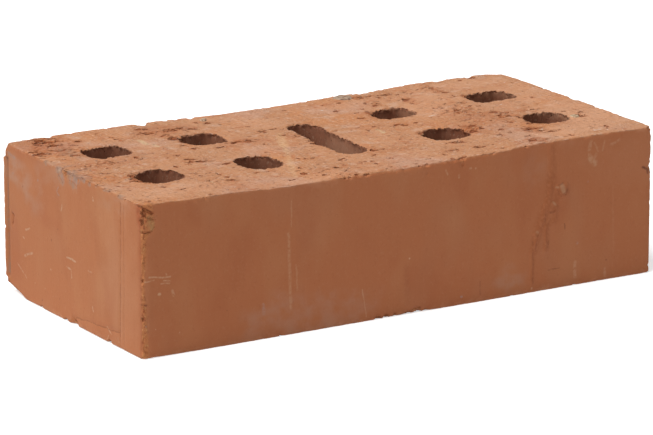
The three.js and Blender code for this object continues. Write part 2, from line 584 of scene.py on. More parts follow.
@dataclass(frozen=True)
class Bloom:
    """Soft patches of one tone, each an ellipsoid that the clay's surface passes through: films, firing tones, and
    in places painted light.

    Each patch has its middle, its half sizes along X, Y and Z, and its strength.
    """

    mask: str
    patches: tuple[Row, ...]
    coarse: Row = (9, 9, 9)
    fine: Row = (2.2, 2.2, 2.8)

    def shape(self, skin: Skin) -> None:
        """Raises the mask in each patch, with an edge broken by noise.

        Args:
            skin: The clay to move and mark.
        """
        fray = 0.42 * skin.noise(self.coarse, 3) + 0.14 * skin.noise(self.fine, 2)
        for x, y, z, half_x, half_y, half_z, strength in self.patches:
            off = np.linalg.norm((skin.rest - (x, y, z)) / (half_x, half_y, half_z), axis=1)
            skin.mark(self.mask, strength * fall(off + fray, 0.35, 1.15))


@dataclass(frozen=True)
class Warp:
    """The bend that drying and firing leave: sagging beds and faces that bow inwards.

    Sags, lift and bows give a place along an edge and how far it moves there. Each bow starts with the
    axis that its face looks along and which way, and each dish with its middle, its width and its depth.
    """

    back_sag: tuple[Row, ...]
    front_sag: tuple[Row, ...]
    dishes: tuple[Row, ...]
    foot_lift: tuple[Row, ...]
    bows: tuple[tuple[int, int, tuple[Row, ...]], ...]
    ripple: float = 0.12
    ripple_cell: Row = (26, 26, 40)
    fade: float = 12

    def shape(self, skin: Skin) -> None:
        """Lowers the top, lifts the foot and draws the faces in, each most at its own surface.

        Args:
            skin: The clay to move and mark.
        """
        x, y, z = skin.rest.T
        share = (y + HALF_WIDE) / (2 * HALF_WIDE)
        sag = np.interp(x, *zip(*self.back_sag)) * share + np.interp(x, *zip(*self.front_sag)) * (1 - share)
        for at_x, at_y, wide, deep in self.dishes:
            sag += deep * np.exp(-((x - at_x) ** 2 + (y - at_y) ** 2) / wide**2)
        lift = np.interp(x, *zip(*self.foot_lift))
        skin.place[:, 2] += lift * (1 - z / HIGH) - sag * z / HIGH
        outer = skin.outer * fall(skin.from_wall, 0, self.fade)
        ripple = self.ripple * np.clip(skin.noise(self.ripple_cell, 2), 0, 1)
        for axis, way, bow in self.bows:
            drawn = np.interp(skin.rest[:, 1 - axis], *zip(*bow)) + ripple
            skin.place[:, axis] += way * outer * ramp(way * skin.inward[:, axis], 0, 1) * drawn


@dataclass(frozen=True)
class WireTear:
    """Pits, drag lines and torn patches that the cutting wire pulls out of a bed.

    Each pit has its middle, its half sizes across and along the wire's way, and its depth. Each patch has
    a strength in the place of a depth.
    """

    bed: Bed
    pits: tuple[Row, ...]
    patches: tuple[Row, ...]
    strays: int
    seed: int
    arris_hold: float = 0.4
    between_beds: float = 23
    wobble_cell: Row = (3.4, 1.5, 9)
    crumb_cell: Row = (2.7, 1.3, 9)
    drag_cell: Row = (1.7, 34, 9)
    drag_field: Row = (30, 40, 9)
    coarse_field: Row = (13, 17, 9)
    grain_cell: Row = (2.3, 3.4, 9)
    swell_cell: Row = (8, 12, 9)
    lip: float = 0.3
    torn_in: float = 0.75
    torn_out: float = 0.3
    drag: float = 0.14
    grain_deep: float = 0.12
    swell: float = 0.14
    stray_along: Row = (0.5, 1.1)
    stray_draw: Row = (1.2, 3.2)
    stray_deep: Row = (0.25, 0.7)

    def shape(self, skin: Skin) -> None:
        """Sinks the bed's points and marks what is torn.

        Args:
            skin: The clay to move and mark.
        """
        near = np.flatnonzero(skin.depth(self.bed) < skin.FADE)
        flat = skin.rest[near] * (1, 1, 0) + (0, 0, self.between_beds * self.bed.value)
        noise = skin.grain.layers
        wobble = noise(flat, self.wobble_cell, 2)
        crumbs = noise(flat + 31, self.crumb_cell, 3)
        sink, rough = self._pitted(flat, wobble, crumbs)
        torn = ramp(sink, 0.15, 0.9)
        for x, y, across, along, strength in self.patches:
            off = np.hypot((flat[:, 0] - x) / across, (flat[:, 1] - y) / along) + 0.35 * wobble
            rough = np.maximum(rough, strength * fall(off, 0.5, 1.15))
        drag = np.clip(noise(flat, self.drag_cell, 2), 0, 1) * ramp(noise(flat, self.drag_field), -0.5, 0.4)
        broken = self.torn_in * ramp(crumbs, 0.1, 0.7) - self.torn_out * ramp(-crumbs, 0.1, 0.8)
        sink += rough * broken + self.drag * drag
        coarse = 0.25 + 0.75 * ramp(noise(flat + 57, self.coarse_field, 2), -0.1, 0.7)
        fine = self.grain_deep * coarse * noise(flat, self.grain_cell, 2)
        sink += fine + self.swell * noise(flat, self.swell_cell, 2)
        held = self.arris_hold * skin.outer[near] * fall(skin.from_wall[near], 0.3, 4)
        amount = np.zeros(len(skin.rest))
        amount[near] = sink * (1 - held)
        skin.press(self.bed, amount)
        at_bed = fall(skin.depth(self.bed), 0.4, 1.6)
        amount[near] = np.clip(torn + 0.7 * rough * ramp(crumbs, 0.2, 0.8), 0, 1)
        skin.mark("tear", amount * at_bed)
        amount[near] = rough
        skin.mark("rough", amount * at_bed)

    def _pitted(self, flat: np.ndarray, wobble: np.ndarray, crumbs: np.ndarray) -> tuple[np.ndarray, np.ndarray]:
        """Sinks each pit, with a raised lip of crumbs and a rough halo round it.

        Args:
            flat: The bed's points, laid level.
            wobble: Noise that breaks the pits' outlines.
            crumbs: Noise that breaks their lips.

        Returns:
            How deep each point sinks, and how rough it is.
        """
        sink, rough = np.zeros((2, len(flat)))
        for x, y, across, along, deep in (*self.pits, *self._strays()):
            off = np.hypot((flat[:, 0] - x) / across, (flat[:, 1] - y) / along)
            inside = np.flatnonzero(off < 2.6)
            edge = off[inside] + 0.4 * wobble[inside]
            lip = ramp(edge, 0.8, 1.2) * fall(edge, 1.2, 1.8) * np.clip(crumbs[inside], 0, 1)
            bite = deep * fall(edge, 0.5, 1.05)
            sunk = np.maximum(sink[inside], bite)
            sink[inside] = np.where(bite > 0.02, sunk, sink[inside] - self.lip * lip)
            halo = 0.5 * ramp(np.full(len(inside), deep), 0.5, 1.1) * fall(edge, 0.9, 2.3)
            rough[inside] = np.maximum(rough[inside], halo)
        return sink, rough

    def _strays(self) -> list[Row]:
        """Scatters small pits, drawn out square to the wire's way.

        Returns:
            Rows like those of the placed pits.
        """
        draw = np.random.default_rng(self.seed)
        rows = []
        for _ in range(self.strays):
            x, y = draw.uniform((-HALF_LONG, -HALF_WIDE), (HALF_LONG, HALF_WIDE))
            along = draw.uniform(*self.stray_along)
            rows.append((x, y, along * draw.uniform(*self.stray_draw), along, draw.uniform(*self.stray_deep)))
        return rows


@dataclass(frozen=True)
class CoreFlutes:
    """Fine upright flutes that the die's core spindles draw along the core walls, frayed at the wires."""

    pitch: float = 1.5
    flute_long: float = 60
    deep: float = 0.06
    torn_deep: float = 0.2
    torn_to: float = 7
    lump: float = 2.5
    lump_out: float = 0.12
    tooth: float = 0.8
    tooth_long: float = 30
    tooth_deep: float = 0.45
    lip: float = 0.3
    nibble: float = 0.5
    nibble_cell: Row = (1.2, 1.2, 9)

    def shape(self, skin: Skin) -> None:
        """Presses the flutes into the core walls and draws a lip with a frayed edge round each mouth.

        Args:
            skin: The clay to move and mark.
        """
        flute = skin.noise((self.pitch, self.pitch, self.flute_long), 2)
        rough = skin.noise((self.lump,) * 3, 2)
        nearest_bed = skin.nearest_bed()
        torn = fall(nearest_bed, 0.5, self.torn_to)
        amount = (self.deep + (self.torn_deep - self.deep) * torn) * (0.35 + 0.65 * flute)
        amount += self.lump_out * np.clip(rough, 0, 1) * torn
        teeth = ramp(skin.noise((self.tooth, self.tooth, self.tooth_long), 2), -0.1, 0.5)
        amount += fall(nearest_bed, 0.5, 1.5) * (self.tooth_deep * teeth - self.lip)
        skin.push(skin.bore * amount)
        bites = ramp(skin.grain.layers(skin.rest * (1, 1, 0) + 3, self.nibble_cell, 2), 0.0, 0.3)
        skin.press(Bed.TOP, self.nibble * bites * skin.bore * fall(skin.from_wall, 0.5, 1.3))
        # The frayed fringe under each mouth is marked torn, which darkens it: partly torn clay, partly painted shade
        # under the rim's crumbs.
        fringe = ramp(nearest_bed, 0.1, 0.4) * fall(nearest_bed - 0.5 * rough, 0.4, 1.1)
        skin.mark("tear", skin.bore * fringe * (0.45 + 0.45 * teeth) * fall(skin.from_wall, 0.8, 1.6))


@dataclass(frozen=True)
class RimCrumbs:
    """Crumbs of clay that the wire left hanging in the mouths of some cores.

    Each spot has its place, its reach along the rim and how far the clay stands out there.
    """

    spots: tuple[Row, ...]
    cell: Row = (1.7, 1.7, 1.5)
    low: float = 0.9
    rough: float = 0.9
    tear: float = 0.7

    def shape(self, skin: Skin) -> None:
        """Draws the wall out at each spot, most just under the bed, and lowers the bed over it.

        Args:
            skin: The clay to move and mark.
        """
        lumps = skin.noise(self.cell, 3)
        depth = skin.depth(Bed.TOP)
        for x, y, reach, out in self.spots:
            gap = np.hypot(skin.rest[:, 0] - x, skin.rest[:, 1] - y) / reach
            here = skin.bore * fall(gap + 0.3 * lumps, 0.4, 1)
            upper = fall(depth + lumps, 2.5, 5)
            skin.push(-out * here * upper * np.clip(0.7 + 0.6 * lumps, 0, 1))
            skin.press(Bed.TOP, self.low * here * fall(skin.from_wall, 0.8, 2.4) * np.clip(0.7 + lumps, 0, 1.3))
            near_bed = fall(depth, 2, 4)
            skin.mark("rough", self.rough * here * near_bed * fall(skin.from_wall, 2, 3.5))
            skin.mark("bed", here * near_bed * fall(skin.from_wall, 2, 3.5))
            skin.mark("tear", self.tear * here * near_bed * ramp(lumps, 0.0, 0.5))


@dataclass(frozen=True)
class WallRelief:
    """Grooves, flakes and raised welds of clay on one of the die-smooth faces.

    Each mark has its two ends on the face, its half width and its depth, which is negative where it
    stands out.
    """

    wall: Wall
    marks: tuple[Row, ...]
    mask: str | None = None
    wander: float = 0.3
    cell: Row = (2.4, 2.4, 2.4)

    def shape(self, skin: Skin) -> None:
        """Presses each mark in by its depth, or out where that is negative.

        Args:
            skin: The clay to move and mark.
        """
        along, up, facing, side = self.wall.value
        ours = skin.outer & (side * skin.inward[:, facing] < -0.7)
        near = np.flatnonzero(ours & (skin.from_wall < skin.FADE))
        spot = skin.rest[near][:, (along, up)]
        wobble = self.wander * skin.grain.layers(skin.rest[near], self.cell, 2)
        amount, film = np.zeros((2, len(skin.rest)))
        for *ends, wide, deep in self.marks:
            start, end = np.array(ends[:2]), np.array(ends[-2:])
            way = end - start
            share = np.clip((spot - start) @ way / max(way @ way, 1e-9), 0, 1)
            off = np.linalg.norm(spot - start - share[:, None] * way, axis=1) / wide
            amount[near] += deep * fall(off + wobble, 0.25, 1)
            film[near] = np.maximum(film[near], fall(off + wobble, 0.6, 1.1))
        skin.push(amount)
        if self.mask:
            skin.mark(self.mask, film * fall(skin.from_wall, 1, 2.5))


@dataclass(frozen=True)
class CrumbledArris:
    """The upright arris at the near corner, whose skin has crumbled to sandy clay.

    The inner edge gives the height and the place along the brick where the crumbled strip ends.
    """

    inner_edge: tuple[Row, ...] = (
        (0, -122.0), (6, -121.8), (10, -122.5), (14, -122.8), (20, -122.8), (28, -123.4), (34, -123.0), (42, -122.4),
        (50, -122.3), (53, -120.5), (55, -118.2), (61, -119.4), (65, -119.0),
    )
    deep: float = 0.7
    roll: float = 4.5
    rolled_in: float = 0.3
    edge_cell: Row = (4, 4, 2.6)
    bite_cell: Row = (1.5, 1.5, 1.9)
    lump_x: float = -121.2
    lump_z: float = 56.5
    lump_half: Row = (2.4, 3.4)
    upper_seam: float = 59.6
    seam_slope: float = 0.25
    seam_from: float = -122
    lower_seam: float = 53.4
    seam_half: float = 0.5

    def shape(self, skin: Skin) -> None:
        """Rounds the arris and roughens a strip along it, round one firm lump between two seams.

        Args:
            skin: The clay to move and mark.
        """
        x, y, z = skin.rest.T
        edge = skin.grain.layers(skin.rest * (0, 0, 1) + 5, self.edge_cell, 3)
        inner = np.interp(z, *zip(*self.inner_edge)) + 0.4 * edge
        strip = skin.outer * (skin.inward[:, 1] > 0.35) * fall(x - inner, -0.4, 0.4)
        bite = 0.35 + 0.6 * skin.noise(self.bite_cell, 3)
        corner = skin.outer * np.hypot(x + HALF_LONG, y + HALF_WIDE)
        rolled = skin.outer * fall(corner, 0, self.roll) * ramp(z, 0, 4)
        skin.push(self.rolled_in * rolled)
        # Ember on the rolled corner is painted shade where the rounded arris turns from the light; on the strip it
        # reddens the crumbled clay.
        skin.mark("ember_and_shade", 0.55 * rolled + 0.35 * strip)
        half_x, half_z = self.lump_half
        lump = np.exp(-(((x - self.lump_x) / half_x) ** 2) - ((z - self.lump_z) / half_z) ** 2)
        upper = z - self.upper_seam + self.seam_slope * (x - self.seam_from)
        seam = sum(np.exp(-((off / self.seam_half) ** 2)) for off in (upper, z - self.lower_seam))
        skin.push(strip * self.deep * np.clip(bite * (1 - 0.9 * lump) + 0.7 * seam, 0, 1.4))
        skin.mark("grit", strip * (0.7 - 0.35 * lump) * fall(skin.from_wall, 1.5, 3))
        skin.mark("tear", 0.6 * strip * np.clip(seam, 0, 1))


@dataclass(frozen=True)
class FrayedArrises:
    """The other upright arrises, which lost crumbs of clay along their length."""

    corners: tuple[tuple[int, int], ...] = ((1, -1), (1, 1))
    wide: float = 2.2
    deep: float = 0.7
    bare: float = 0.6
    cell: Row = (2.0, 2.0, 2.4)

    def shape(self, skin: Skin) -> None:
        """Bites into each arris unevenly.

        Args:
            skin: The clay to move and mark.
        """
        crumb = np.clip(skin.noise(self.cell, 3) - 0.1, 0, 1)
        for end, side in self.corners:
            gap = np.hypot(skin.rest[:, 0] - end * HALF_LONG, skin.rest[:, 1] - side * HALF_WIDE)
            bite = self.deep * crumb * skin.outer * fall(gap, 0.4, self.wide)
            skin.push(bite)
            skin.mark("grit", self.bare * ramp(bite, 0.15, 0.4))


@dataclass(frozen=True)
class FarArris:
    """The upright arris at the far end of the header: a fin of clay beside a drawn-in face."""

    groove: float = 57.3
    groove_deep: float = 0.9
    fin_from: float = 7.0
    fin_to: float = 58.8
    flush: float = 0.45
    notch: float = 0.2
    broken: float = 1.9
    broken_to: float = 14
    sway: float = 0.3
    sway_cell: Row = (6, 6, 7)
    notch_cell: Row = (1.8, 1.8, 2.2)

    def shape(self, skin: Skin) -> None:
        """Cuts the groove beside the fin and breaks the fin away above and below it.

        Args:
            skin: The clay to move and mark.
        """
        x, y, z = skin.rest.T
        sway = self.sway * skin.grain.layers(skin.rest * (0, 0, 1) + 9, self.sway_cell, 2)
        fin = ramp(z, self.fin_from - 1, self.fin_from) * fall(z, self.fin_to, self.fin_to + 0.7)
        header = skin.outer * (skin.inward[:, 0] > 0.35)
        groove = fin * fall(np.abs(y - self.groove - sway), 0.25, 1.0)
        notch = self.notch * np.clip(skin.noise(self.notch_cell, 2), 0, 1) * ramp(y, 57, 59)
        flush = self.flush * fin * ramp(y, 57.8, 58.6)
        skin.push(header * (self.groove_deep * groove + notch - flush))
        skin.mark("grime", header * groove * (0.6 + 0.4 * ramp(sway, -0.1, 0.2)))
        lost = self.broken * (1 - fin) * fall(x + HALF_LONG, 5, self.broken_to) * (1 + 0.8 * sway)
        skin.place[:, 1] = np.minimum(skin.place[:, 1], HALF_WIDE - lost)


class Nodes:
    """One node tree, and the one helper that adds a node to it."""

    def __init__(self, tree: bpy.types.NodeTree) -> None:
        """Keeps the tree."""
        self.tree = tree

    def add(
        self, kind: str, inputs: dict[int | str, object] | None = None, out: int = 0, **settings: object
    ) -> bpy.types.NodeSocket:
        """Adds a node with its settings, values and links.

        Args:
            kind: The node's type name.
            inputs: Values or sockets for its inputs, by name or number.
            out: Which output is given back.
            settings: Properties of the node.

        Returns:
            The chosen output.
        """
        node = self.tree.nodes.new(kind)
        for name, value in settings.items():
            setattr(node, name, value)
        for name, value in (inputs or {}).items():
            if isinstance(value, bpy.types.NodeSocket):
                self.tree.links.new(value, node.inputs[name])
            else:
                node.inputs[name].default_value = value
        return node.outputs[out]

    def seen(self) -> bpy.types.NodeSocket:
        """Tells what is looked at from what only lights other things.

        Returns:
            1 for what the camera sees straight, mirrored or through glass, and 0 for the rest.
        """
        rays = self.add("ShaderNodeLightPath").node
        total = self.add("ShaderNodeMath", {0: rays.outputs["Is Camera Ray"], 1: rays.outputs["Is Glossy Ray"]})
        return self.add("ShaderNodeMath", {0: total, 1: rays.outputs["Is Transmission Ray"]}, use_clamp=True)


@dataclass(frozen=True)
class Pattern:
    """Soft noise between two thresholds.

    Its cell has sides in millimetres along X, Y and Z. Low and high are the noise values that give 0 and 1,
    detail is how many finer layers it has, and a seed moves it, so that two of one size differ.
    """

    cell: Row
    low: float
    high: float
    detail: float = 2
    seed: float = 0


class Shade(Nodes):
    """One material that is built up from tones laid over each other."""

    SPREAD = (1, 1.7, 2.3)  # How a seed moves a pattern along X, Y and Z.

    def __init__(self, name: str) -> None:
        """Starts a material with its shader.

        Args:
            name: What the material is and how its surface was made.
        """
        self.material = bpy.data.materials.new(name)
        self.material.use_nodes = True
        super().__init__(self.material.node_tree)
        self.shader = self.tree.nodes["Principled BSDF"]
        self.place = self.add("ShaderNodeTexCoord", out=3)
        self.tone: bpy.types.NodeSocket | None = None

    def pattern(self, form: Pattern, lift: Value = 0.0) -> bpy.types.NodeSocket:
        """Lays a pattern over the object.

        Args:
            form: The pattern.
            lift: Half of this is added to the noise before the thresholds.

        Returns:
            A value from 0 to 1.
        """
        scale = tuple(1 / (side * MM) for side in form.cell)
        start = tuple(form.seed * share for share in self.SPREAD)
        moved = self.add("ShaderNodeVectorMath", {0: self.place, 1: scale, 2: start}, operation="MULTIPLY_ADD")
        noise = self.add("ShaderNodeTexNoise", {"Vector": moved, "Scale": 1.0, "Detail": form.detail})
        lifted = self.add("ShaderNodeMath", {0: lift, 1: 0.5, 2: noise}, operation="MULTIPLY_ADD")
        edges = {"Value": lifted, "From Min": form.low, "From Max": form.high}
        return self.add("ShaderNodeMapRange", edges, **SMOOTH)

    def times(self, *factors: Value) -> bpy.types.NodeSocket:
        """Multiplies masks and strengths together.

        Args:
            factors: The masks and strengths.

        Returns:
            Their product.
        """
        total = factors[0]
        for factor in factors[1:]:
            total = self.add("ShaderNodeMath", {0: total, 1: factor}, operation="MULTIPLY")
        return total

    def base(self, colour: str) -> None:
        """Starts the tones over from one plain colour."""
        plain = {0: 0.0, 6: linear(colour), 7: linear(colour)}
        self.tone = self.add("ShaderNodeMix", plain, out=2, data_type="RGBA")

    def lay(self, colour: str, *factors: Value) -> None:
        """Lays a tone over what is there, as strongly as its factors' product."""
        mixed = {0: self.times(*factors), 6: self.tone, 7: linear(colour)}
        self.tone = self.add("ShaderNodeMix", mixed, out=2, data_type="RGBA")

    def finish(self, surface: bpy.types.NodeSocket) -> None:
        """Sends a surface to the output."""
        self.tree.links.new(surface, self.tree.nodes["Material Output"].inputs["Surface"])


@dataclass(frozen=True)
class PaperFinish:
    """Matt white paper: its fibres scatter light evenly, so it shows plain white with a soft shadow on it."""

    colour: str = "#F0F0F0"
    roughness: float = 0.95
    shown_white: float = 0.6

    def material(self) -> bpy.types.Material:
        """Builds the paper, with a glow that only what looks at it sees.

        Returns:
            The material.
        """
        paper = Shade("matt_white_paper")
        paper.shader.inputs["Base Color"].default_value = linear(self.colour)
        paper.shader.inputs["Roughness"].default_value = self.roughness
        share = paper.add("ShaderNodeMath", {0: paper.seen(), 1: self.shown_white}, operation="MULTIPLY")
        glow = paper.add("ShaderNodeEmission", {"Color": linear(WHITE), "Strength": share})
        paper.finish(paper.add("ShaderNodeAddShader", {0: paper.shader.outputs[0], 1: glow}))
        return paper.material


@dataclass(frozen=True)
class Lamp:
    """A square area lamp: where it hangs and its side, in metres, and its power in watts."""

    name: str
    place: Row
    side: float
    power: float

    def hang(self, target: Vector) -> None:
        """Adds the lamp.

        Args:
            target: The place that it lights.
        """
        data = bpy.data.lights.new(self.name, "AREA")
        data.size = self.side
        data.energy = self.power
        lamp = add_object(self.name, data)
        lamp.location = self.place
        lamp.rotation_euler = (Vector(self.place) - target).to_track_quat("Z", "Y").to_euler()


@dataclass(frozen=True)
class Studio:
    """The plain floor, the soft lights and the camera, with angles in degrees and lengths in metres."""

    azimuth: float = -31.19
    elevation: float = 15.16
    roll: float = -0.07
    distance: float = 1.9133
    lens: float = 247.1
    clip_end: float = 20
    target: Row = (0, 0, 0.0325)
    aside: float = -0.00147
    lift: float = -0.00408
    surround: float = 0.15
    lamps: tuple[Lamp, ...] = (
        Lamp("key", (-2.37, 0.0, 5.1), 3.0, 288),
        Lamp("fill", (-0.3, -2.2, 0.9), 1.4, 3.2),
    )
    paper: PaperFinish = PaperFinish()
    floor_half: float = 6
    floor_gap: float = 0.05 * MM

    def build(self) -> None:
        """Sets the camera, the lights, the floor and the world."""
        self._camera()
        for lamp in self.lamps:
            lamp.hang(Vector(self.target))
        self._floor()
        self._world()
        bpy.context.scene.view_settings.view_transform = "Standard"

    def _camera(self) -> None:
        """Places the long lens that sees a header and a stretcher from slightly above."""
        turn, rise = math.radians(self.azimuth), math.radians(self.elevation)
        back = Vector((math.sin(turn) * math.cos(rise), -math.cos(turn) * math.cos(rise), math.sin(rise)))
        right = Vector((math.cos(turn), math.sin(turn), 0))
        up = back.cross(right)
        eye = Vector(self.target) + right * self.aside + up * self.lift + back * self.distance
        data = bpy.data.cameras.new("camera")
        data.lens = self.lens
        data.clip_end = self.clip_end
        camera = add_object("camera", data)
        axes = Matrix((right, up, back)).transposed().to_4x4()
        camera.matrix_world = Matrix.Translation(eye) @ axes @ Matrix.Rotation(math.radians(self.roll), 4, "Z")
        bpy.context.scene.camera = camera

    def _floor(self) -> None:
        """Lays a sheet of paper under the brick, a hair below it so that the two don't share a plane."""
        bm = bmesh.new()
        low = Matrix.Translation((0, 0, -self.floor_gap))
        bmesh.ops.create_grid(bm, x_segments=1, y_segments=1, size=self.floor_half, matrix=low)
        floor = add_mesh("floor", bm)
        floor.data.materials.append(self.paper.material())

    def _world(self) -> None:
        """A white surround that fills the shadows softly and shows plain white."""
        world = bpy.data.worlds.new("soft_white")
        world.use_nodes = True
        bpy.context.scene.world = world
        nodes = Nodes(world.node_tree)
        light = nodes.add("ShaderNodeBackground", {"Color": linear(WHITE), "Strength": self.surround})
        white = nodes.add("ShaderNodeBackground", {"Color": linear(WHITE), "Strength": 1.0})
        mixed = nodes.add("ShaderNodeMixShader", {0: nodes.seen(), 1: light, 2: white})
        world.node_tree.links.new(mixed, world.node_tree.nodes["World Output"].inputs["Surface"])


@dataclass(frozen=True)
class Tone:
    """One tone of a surface: its colour, its pattern's sizes and how strongly it lies on what is below."""

    colour: str
    cell: Row
    low: float
    high: float
    strength: float
    detail: float = 2


@dataclass(frozen=True)
class Film:
    """A film, or a bared tone of the clay, in spots where a mask of the skin is raised."""

    mask: str
    colour: str
    spots: Pattern
    strength: float


@dataclass(frozen=True)
class Stain:
    """Thin marks of one colour on one face.

    Each stroke has its two ends, or one place where it is a dot, its half width and its strength.
    """

    colour: str
    wall: Wall
    strokes: tuple[Row, ...]
    strength: float = 1.0


@dataclass(frozen=True)
class Stroke:
    """One straight mark on a face, in that face's own two coordinates. A dot starts where it ends."""

    wall: Wall
    start: Row
    end: Row
    wide: float
    strength: float
    core: float = 0.2

    def mask(self, clay: Shade, place: bpy.types.NodeSocket) -> bpy.types.NodeSocket:
        """Gives the stroke's share at each point.

        Args:
            clay: The material under work.
            place: The point laid onto the face, in metres, moved about a little so that the mark isn't ruled.

        Returns:
            A value from 0 to the stroke's strength.
        """
        start = self.wall.point(*self.start) * MM
        way = self.wall.point(*self.end) * MM - start
        near: Vector | bpy.types.NodeSocket = start
        if way.length_squared:
            along = way / way.length_squared
            past = start.dot(along)
            dot = clay.add("ShaderNodeVectorMath", {0: place, 1: along}, out=1, operation="DOT_PRODUCT")
            share = clay.add("ShaderNodeClamp", {"Value": dot, "Min": past, "Max": past + 1})
            run = clay.add("ShaderNodeVectorMath", {0: way, "Scale": share}, operation="SCALE")
            near = clay.add("ShaderNodeVectorMath", {0: run, 1: start - past * way})
        gap = clay.add("ShaderNodeVectorMath", {0: place, 1: near}, out=1, operation="DISTANCE")
        edges = {"Value": gap, "From Min": self.core * self.wide * MM, "From Max": self.wide * MM}
        return clay.add("ShaderNodeMapRange", edges | {"To Min": self.strength, "To Max": 0.0}, **SMOOTH)


@dataclass(frozen=True)
class ClayFinish:
    """Fired clay in its three surfaces: wire-cut beds, die-smooth faces and core walls.

    Wire cutting leaves a dry, open, dusty grain that scatters light evenly and looks pale. The die's
    steel presses the faces shut, so they are deeper in colour, faintly streaked upright, with a slight
    sheen. The core walls are painted darker and greyer, as painted shade inside the cores. The real sand
    and grog are 0.2 to 0.6 mm across, too fine to show, so their spots are drawn at about 1 mm.
    """

    # Each surface has a base and tones over it: broad firing tones first, then the grain and its dust.
    bed_base: str = "#CB916A"
    bed_tones: tuple[Tone, ...] = (
        Tone("#CC9F88", (40, 34, 44), 0.50, 0.68, 0.55),
        Tone("#CF8754", (24, 28, 26), 0.50, 0.68, 0.5),
        Tone("#BE7950", (11, 15, 12), 0.53, 0.72, 0.55, 4),
        Tone("#DBB49B", (7.5, 5.5, 3.2), 0.55, 0.71, 0.45, 3),
        Tone("#B36740", (5.2, 2.8, 2.6), 0.57, 0.73, 0.55, 3),
        Tone("#E2BFA8", (1.5, 1.0, 0.9), 0.54, 0.72, 0.55, 3),
        Tone("#A25C3B", (1.8, 1.0, 0.9), 0.56, 0.75, 0.6, 3),
        Tone("#B57450", (1.4, 30, 8), 0.57, 0.74, 0.22),
    )
    face_base: str = "#B9744A"
    face_tones: tuple[Tone, ...] = (
        Tone("#B77B55", (30, 30, 46), 0.48, 0.68, 0.5),
        Tone("#AD663E", (18, 18, 34), 0.50, 0.70, 0.4),
        Tone("#C3865A", (22, 22, 40), 0.52, 0.72, 0.35),
        Tone("#AD6943", (1.3, 1.3, 55), 0.54, 0.72, 0.08),
        Tone("#C48E68", (0.9, 0.9, 1.1), 0.56, 0.74, 0.2),
        Tone("#9A5936", (1.0, 1.0, 1.2), 0.58, 0.74, 0.2),
    )
    # The core walls' base is darker and greyer than the faces: painted shade inside the cores.
    shaded_bore_base: str = "#9C654B"
    bore_tones: tuple[Tone, ...] = (
        Tone("#7E4F39", (8, 8, 14), 0.45, 0.65, 0.4),
        Tone("#B07A5E", (5, 5, 12), 0.52, 0.72, 0.3),
        Tone("#6D4431", (3.0, 3.0, 3.4), 0.57, 0.75, 0.25),
        Tone("#CBAA90", (1.0, 1.0, 1.3), 0.58, 0.72, 0.35),
    )
    tone_seed: float = 3.1
    # Deep red and pale tones laid by two masks: partly the clay's firing tones, partly painted shade on the
    # stretcher and the near rounded corner, and painted light over the right end of the upper bed.
    firing_and_painted_light: tuple[tuple[str, str, float], ...] = (("ember_and_shade", "#A3512F", 0.8), ("pale", "#DEA682", 0.8))
    # Scum and lime bloom, a thin pale film that firing leaves.
    haze: str = "#B89078"
    haze_spots: Pattern = Pattern((6.5, 6.5, 5.5), 0.25, 0.7, 5, 15)
    # Grey grime, bared rust-red clay and its pale crumbs, then sand with its dark and pale grains.
    films: tuple[Film, ...] = (
        Film("grime", "#A5826C", Pattern((2.2, 2.2, 2.2), 0.3, 0.6, 3, 4), 0.85),
        Film("rough", "#B5612F", Pattern((3.6, 2.0, 2.4), 0.36, 0.58, 3, 6), 0.7),
        Film("rough", "#DFA981", Pattern((2.4, 1.2, 1.2), 0.54, 0.66, 3, 8), 0.65),
        Film("grit", "#D28B58", Pattern((1.6, 1.6, 1.6), 0.3, 0.5, 3), 0.9),
        Film("grit", "#98532F", Pattern((1.5, 1.5, 1.9), 0.53, 0.62, 3, 7), 0.75),
        Film("grit", "#E0AC72", Pattern((1.2, 1.2, 1.4), 0.57, 0.66, 3, 5), 0.7),
    )
    # Fine tears, darker red-brown: partly the torn clay's own colour, partly painted shade in the crevices, with a
    # darker painted shade where the clay is torn most.
    crevice: Film = Film("tear", "#9B5534", Pattern((2.6, 1.3, 1.3), 0.66, 0.76, 3, 12), 0.7)
    crevice_sunk: float = -0.6
    rough_lift: float = 0.2
    deep: str = "#6A3B29"
    deep_shade_from: float = 0.6
    deep_shade_strength: float = 0.55
    # A stroke of a stain wanders by up to half of this, in millimetres.
    wander: float = 1.4
    wander_cell: float = 4
    stain_spots: Pattern = Pattern((1.4, 1.4, 1.4), 0.25, 0.6, 3, 11)
    # Only this share of the way from the box's face to the clay counts, so a stroke holds where clay is sunk.
    stain_reach: float = 0.15
    face_roughness: float = 0.72
    open_roughness: float = 0.97
    ior: float = 1.5
    specular: float = 0.3
    coarse_field: Pattern = Pattern((15, 19, 15), 0.42, 0.62, 2, 21)
    coarse_least: float = 0.4
    open_grain: Pattern = Pattern((1.7, 1.1, 1.1), 0.2, 0.8, 4)
    open_grain_high: float = 0.4
    # Lumps, the wire's drag lines, torn clay, the spindles' scrapes and the die's streaks, with their heights.
    reliefs: tuple[tuple[str | None, Pattern, float], ...] = (
        ("matt", Pattern((6.5, 4.5, 4.5), 0.3, 0.7, 2, 3), 0.3),
        ("bed", Pattern((1.2, 26, 6), 0.3, 0.7, 2, 9), 0.14),
        ("rough", Pattern((3.0, 1.6, 2.2), 0.3, 0.7, 3, 14), 0.7),
        ("bore", Pattern((1.6, 1.6, 4), 0.3, 0.7, 2, 6), 0.08),
        (None, Pattern((1.1, 1.1, 60), 0.3, 0.7, 2, 5), 0.02),
    )

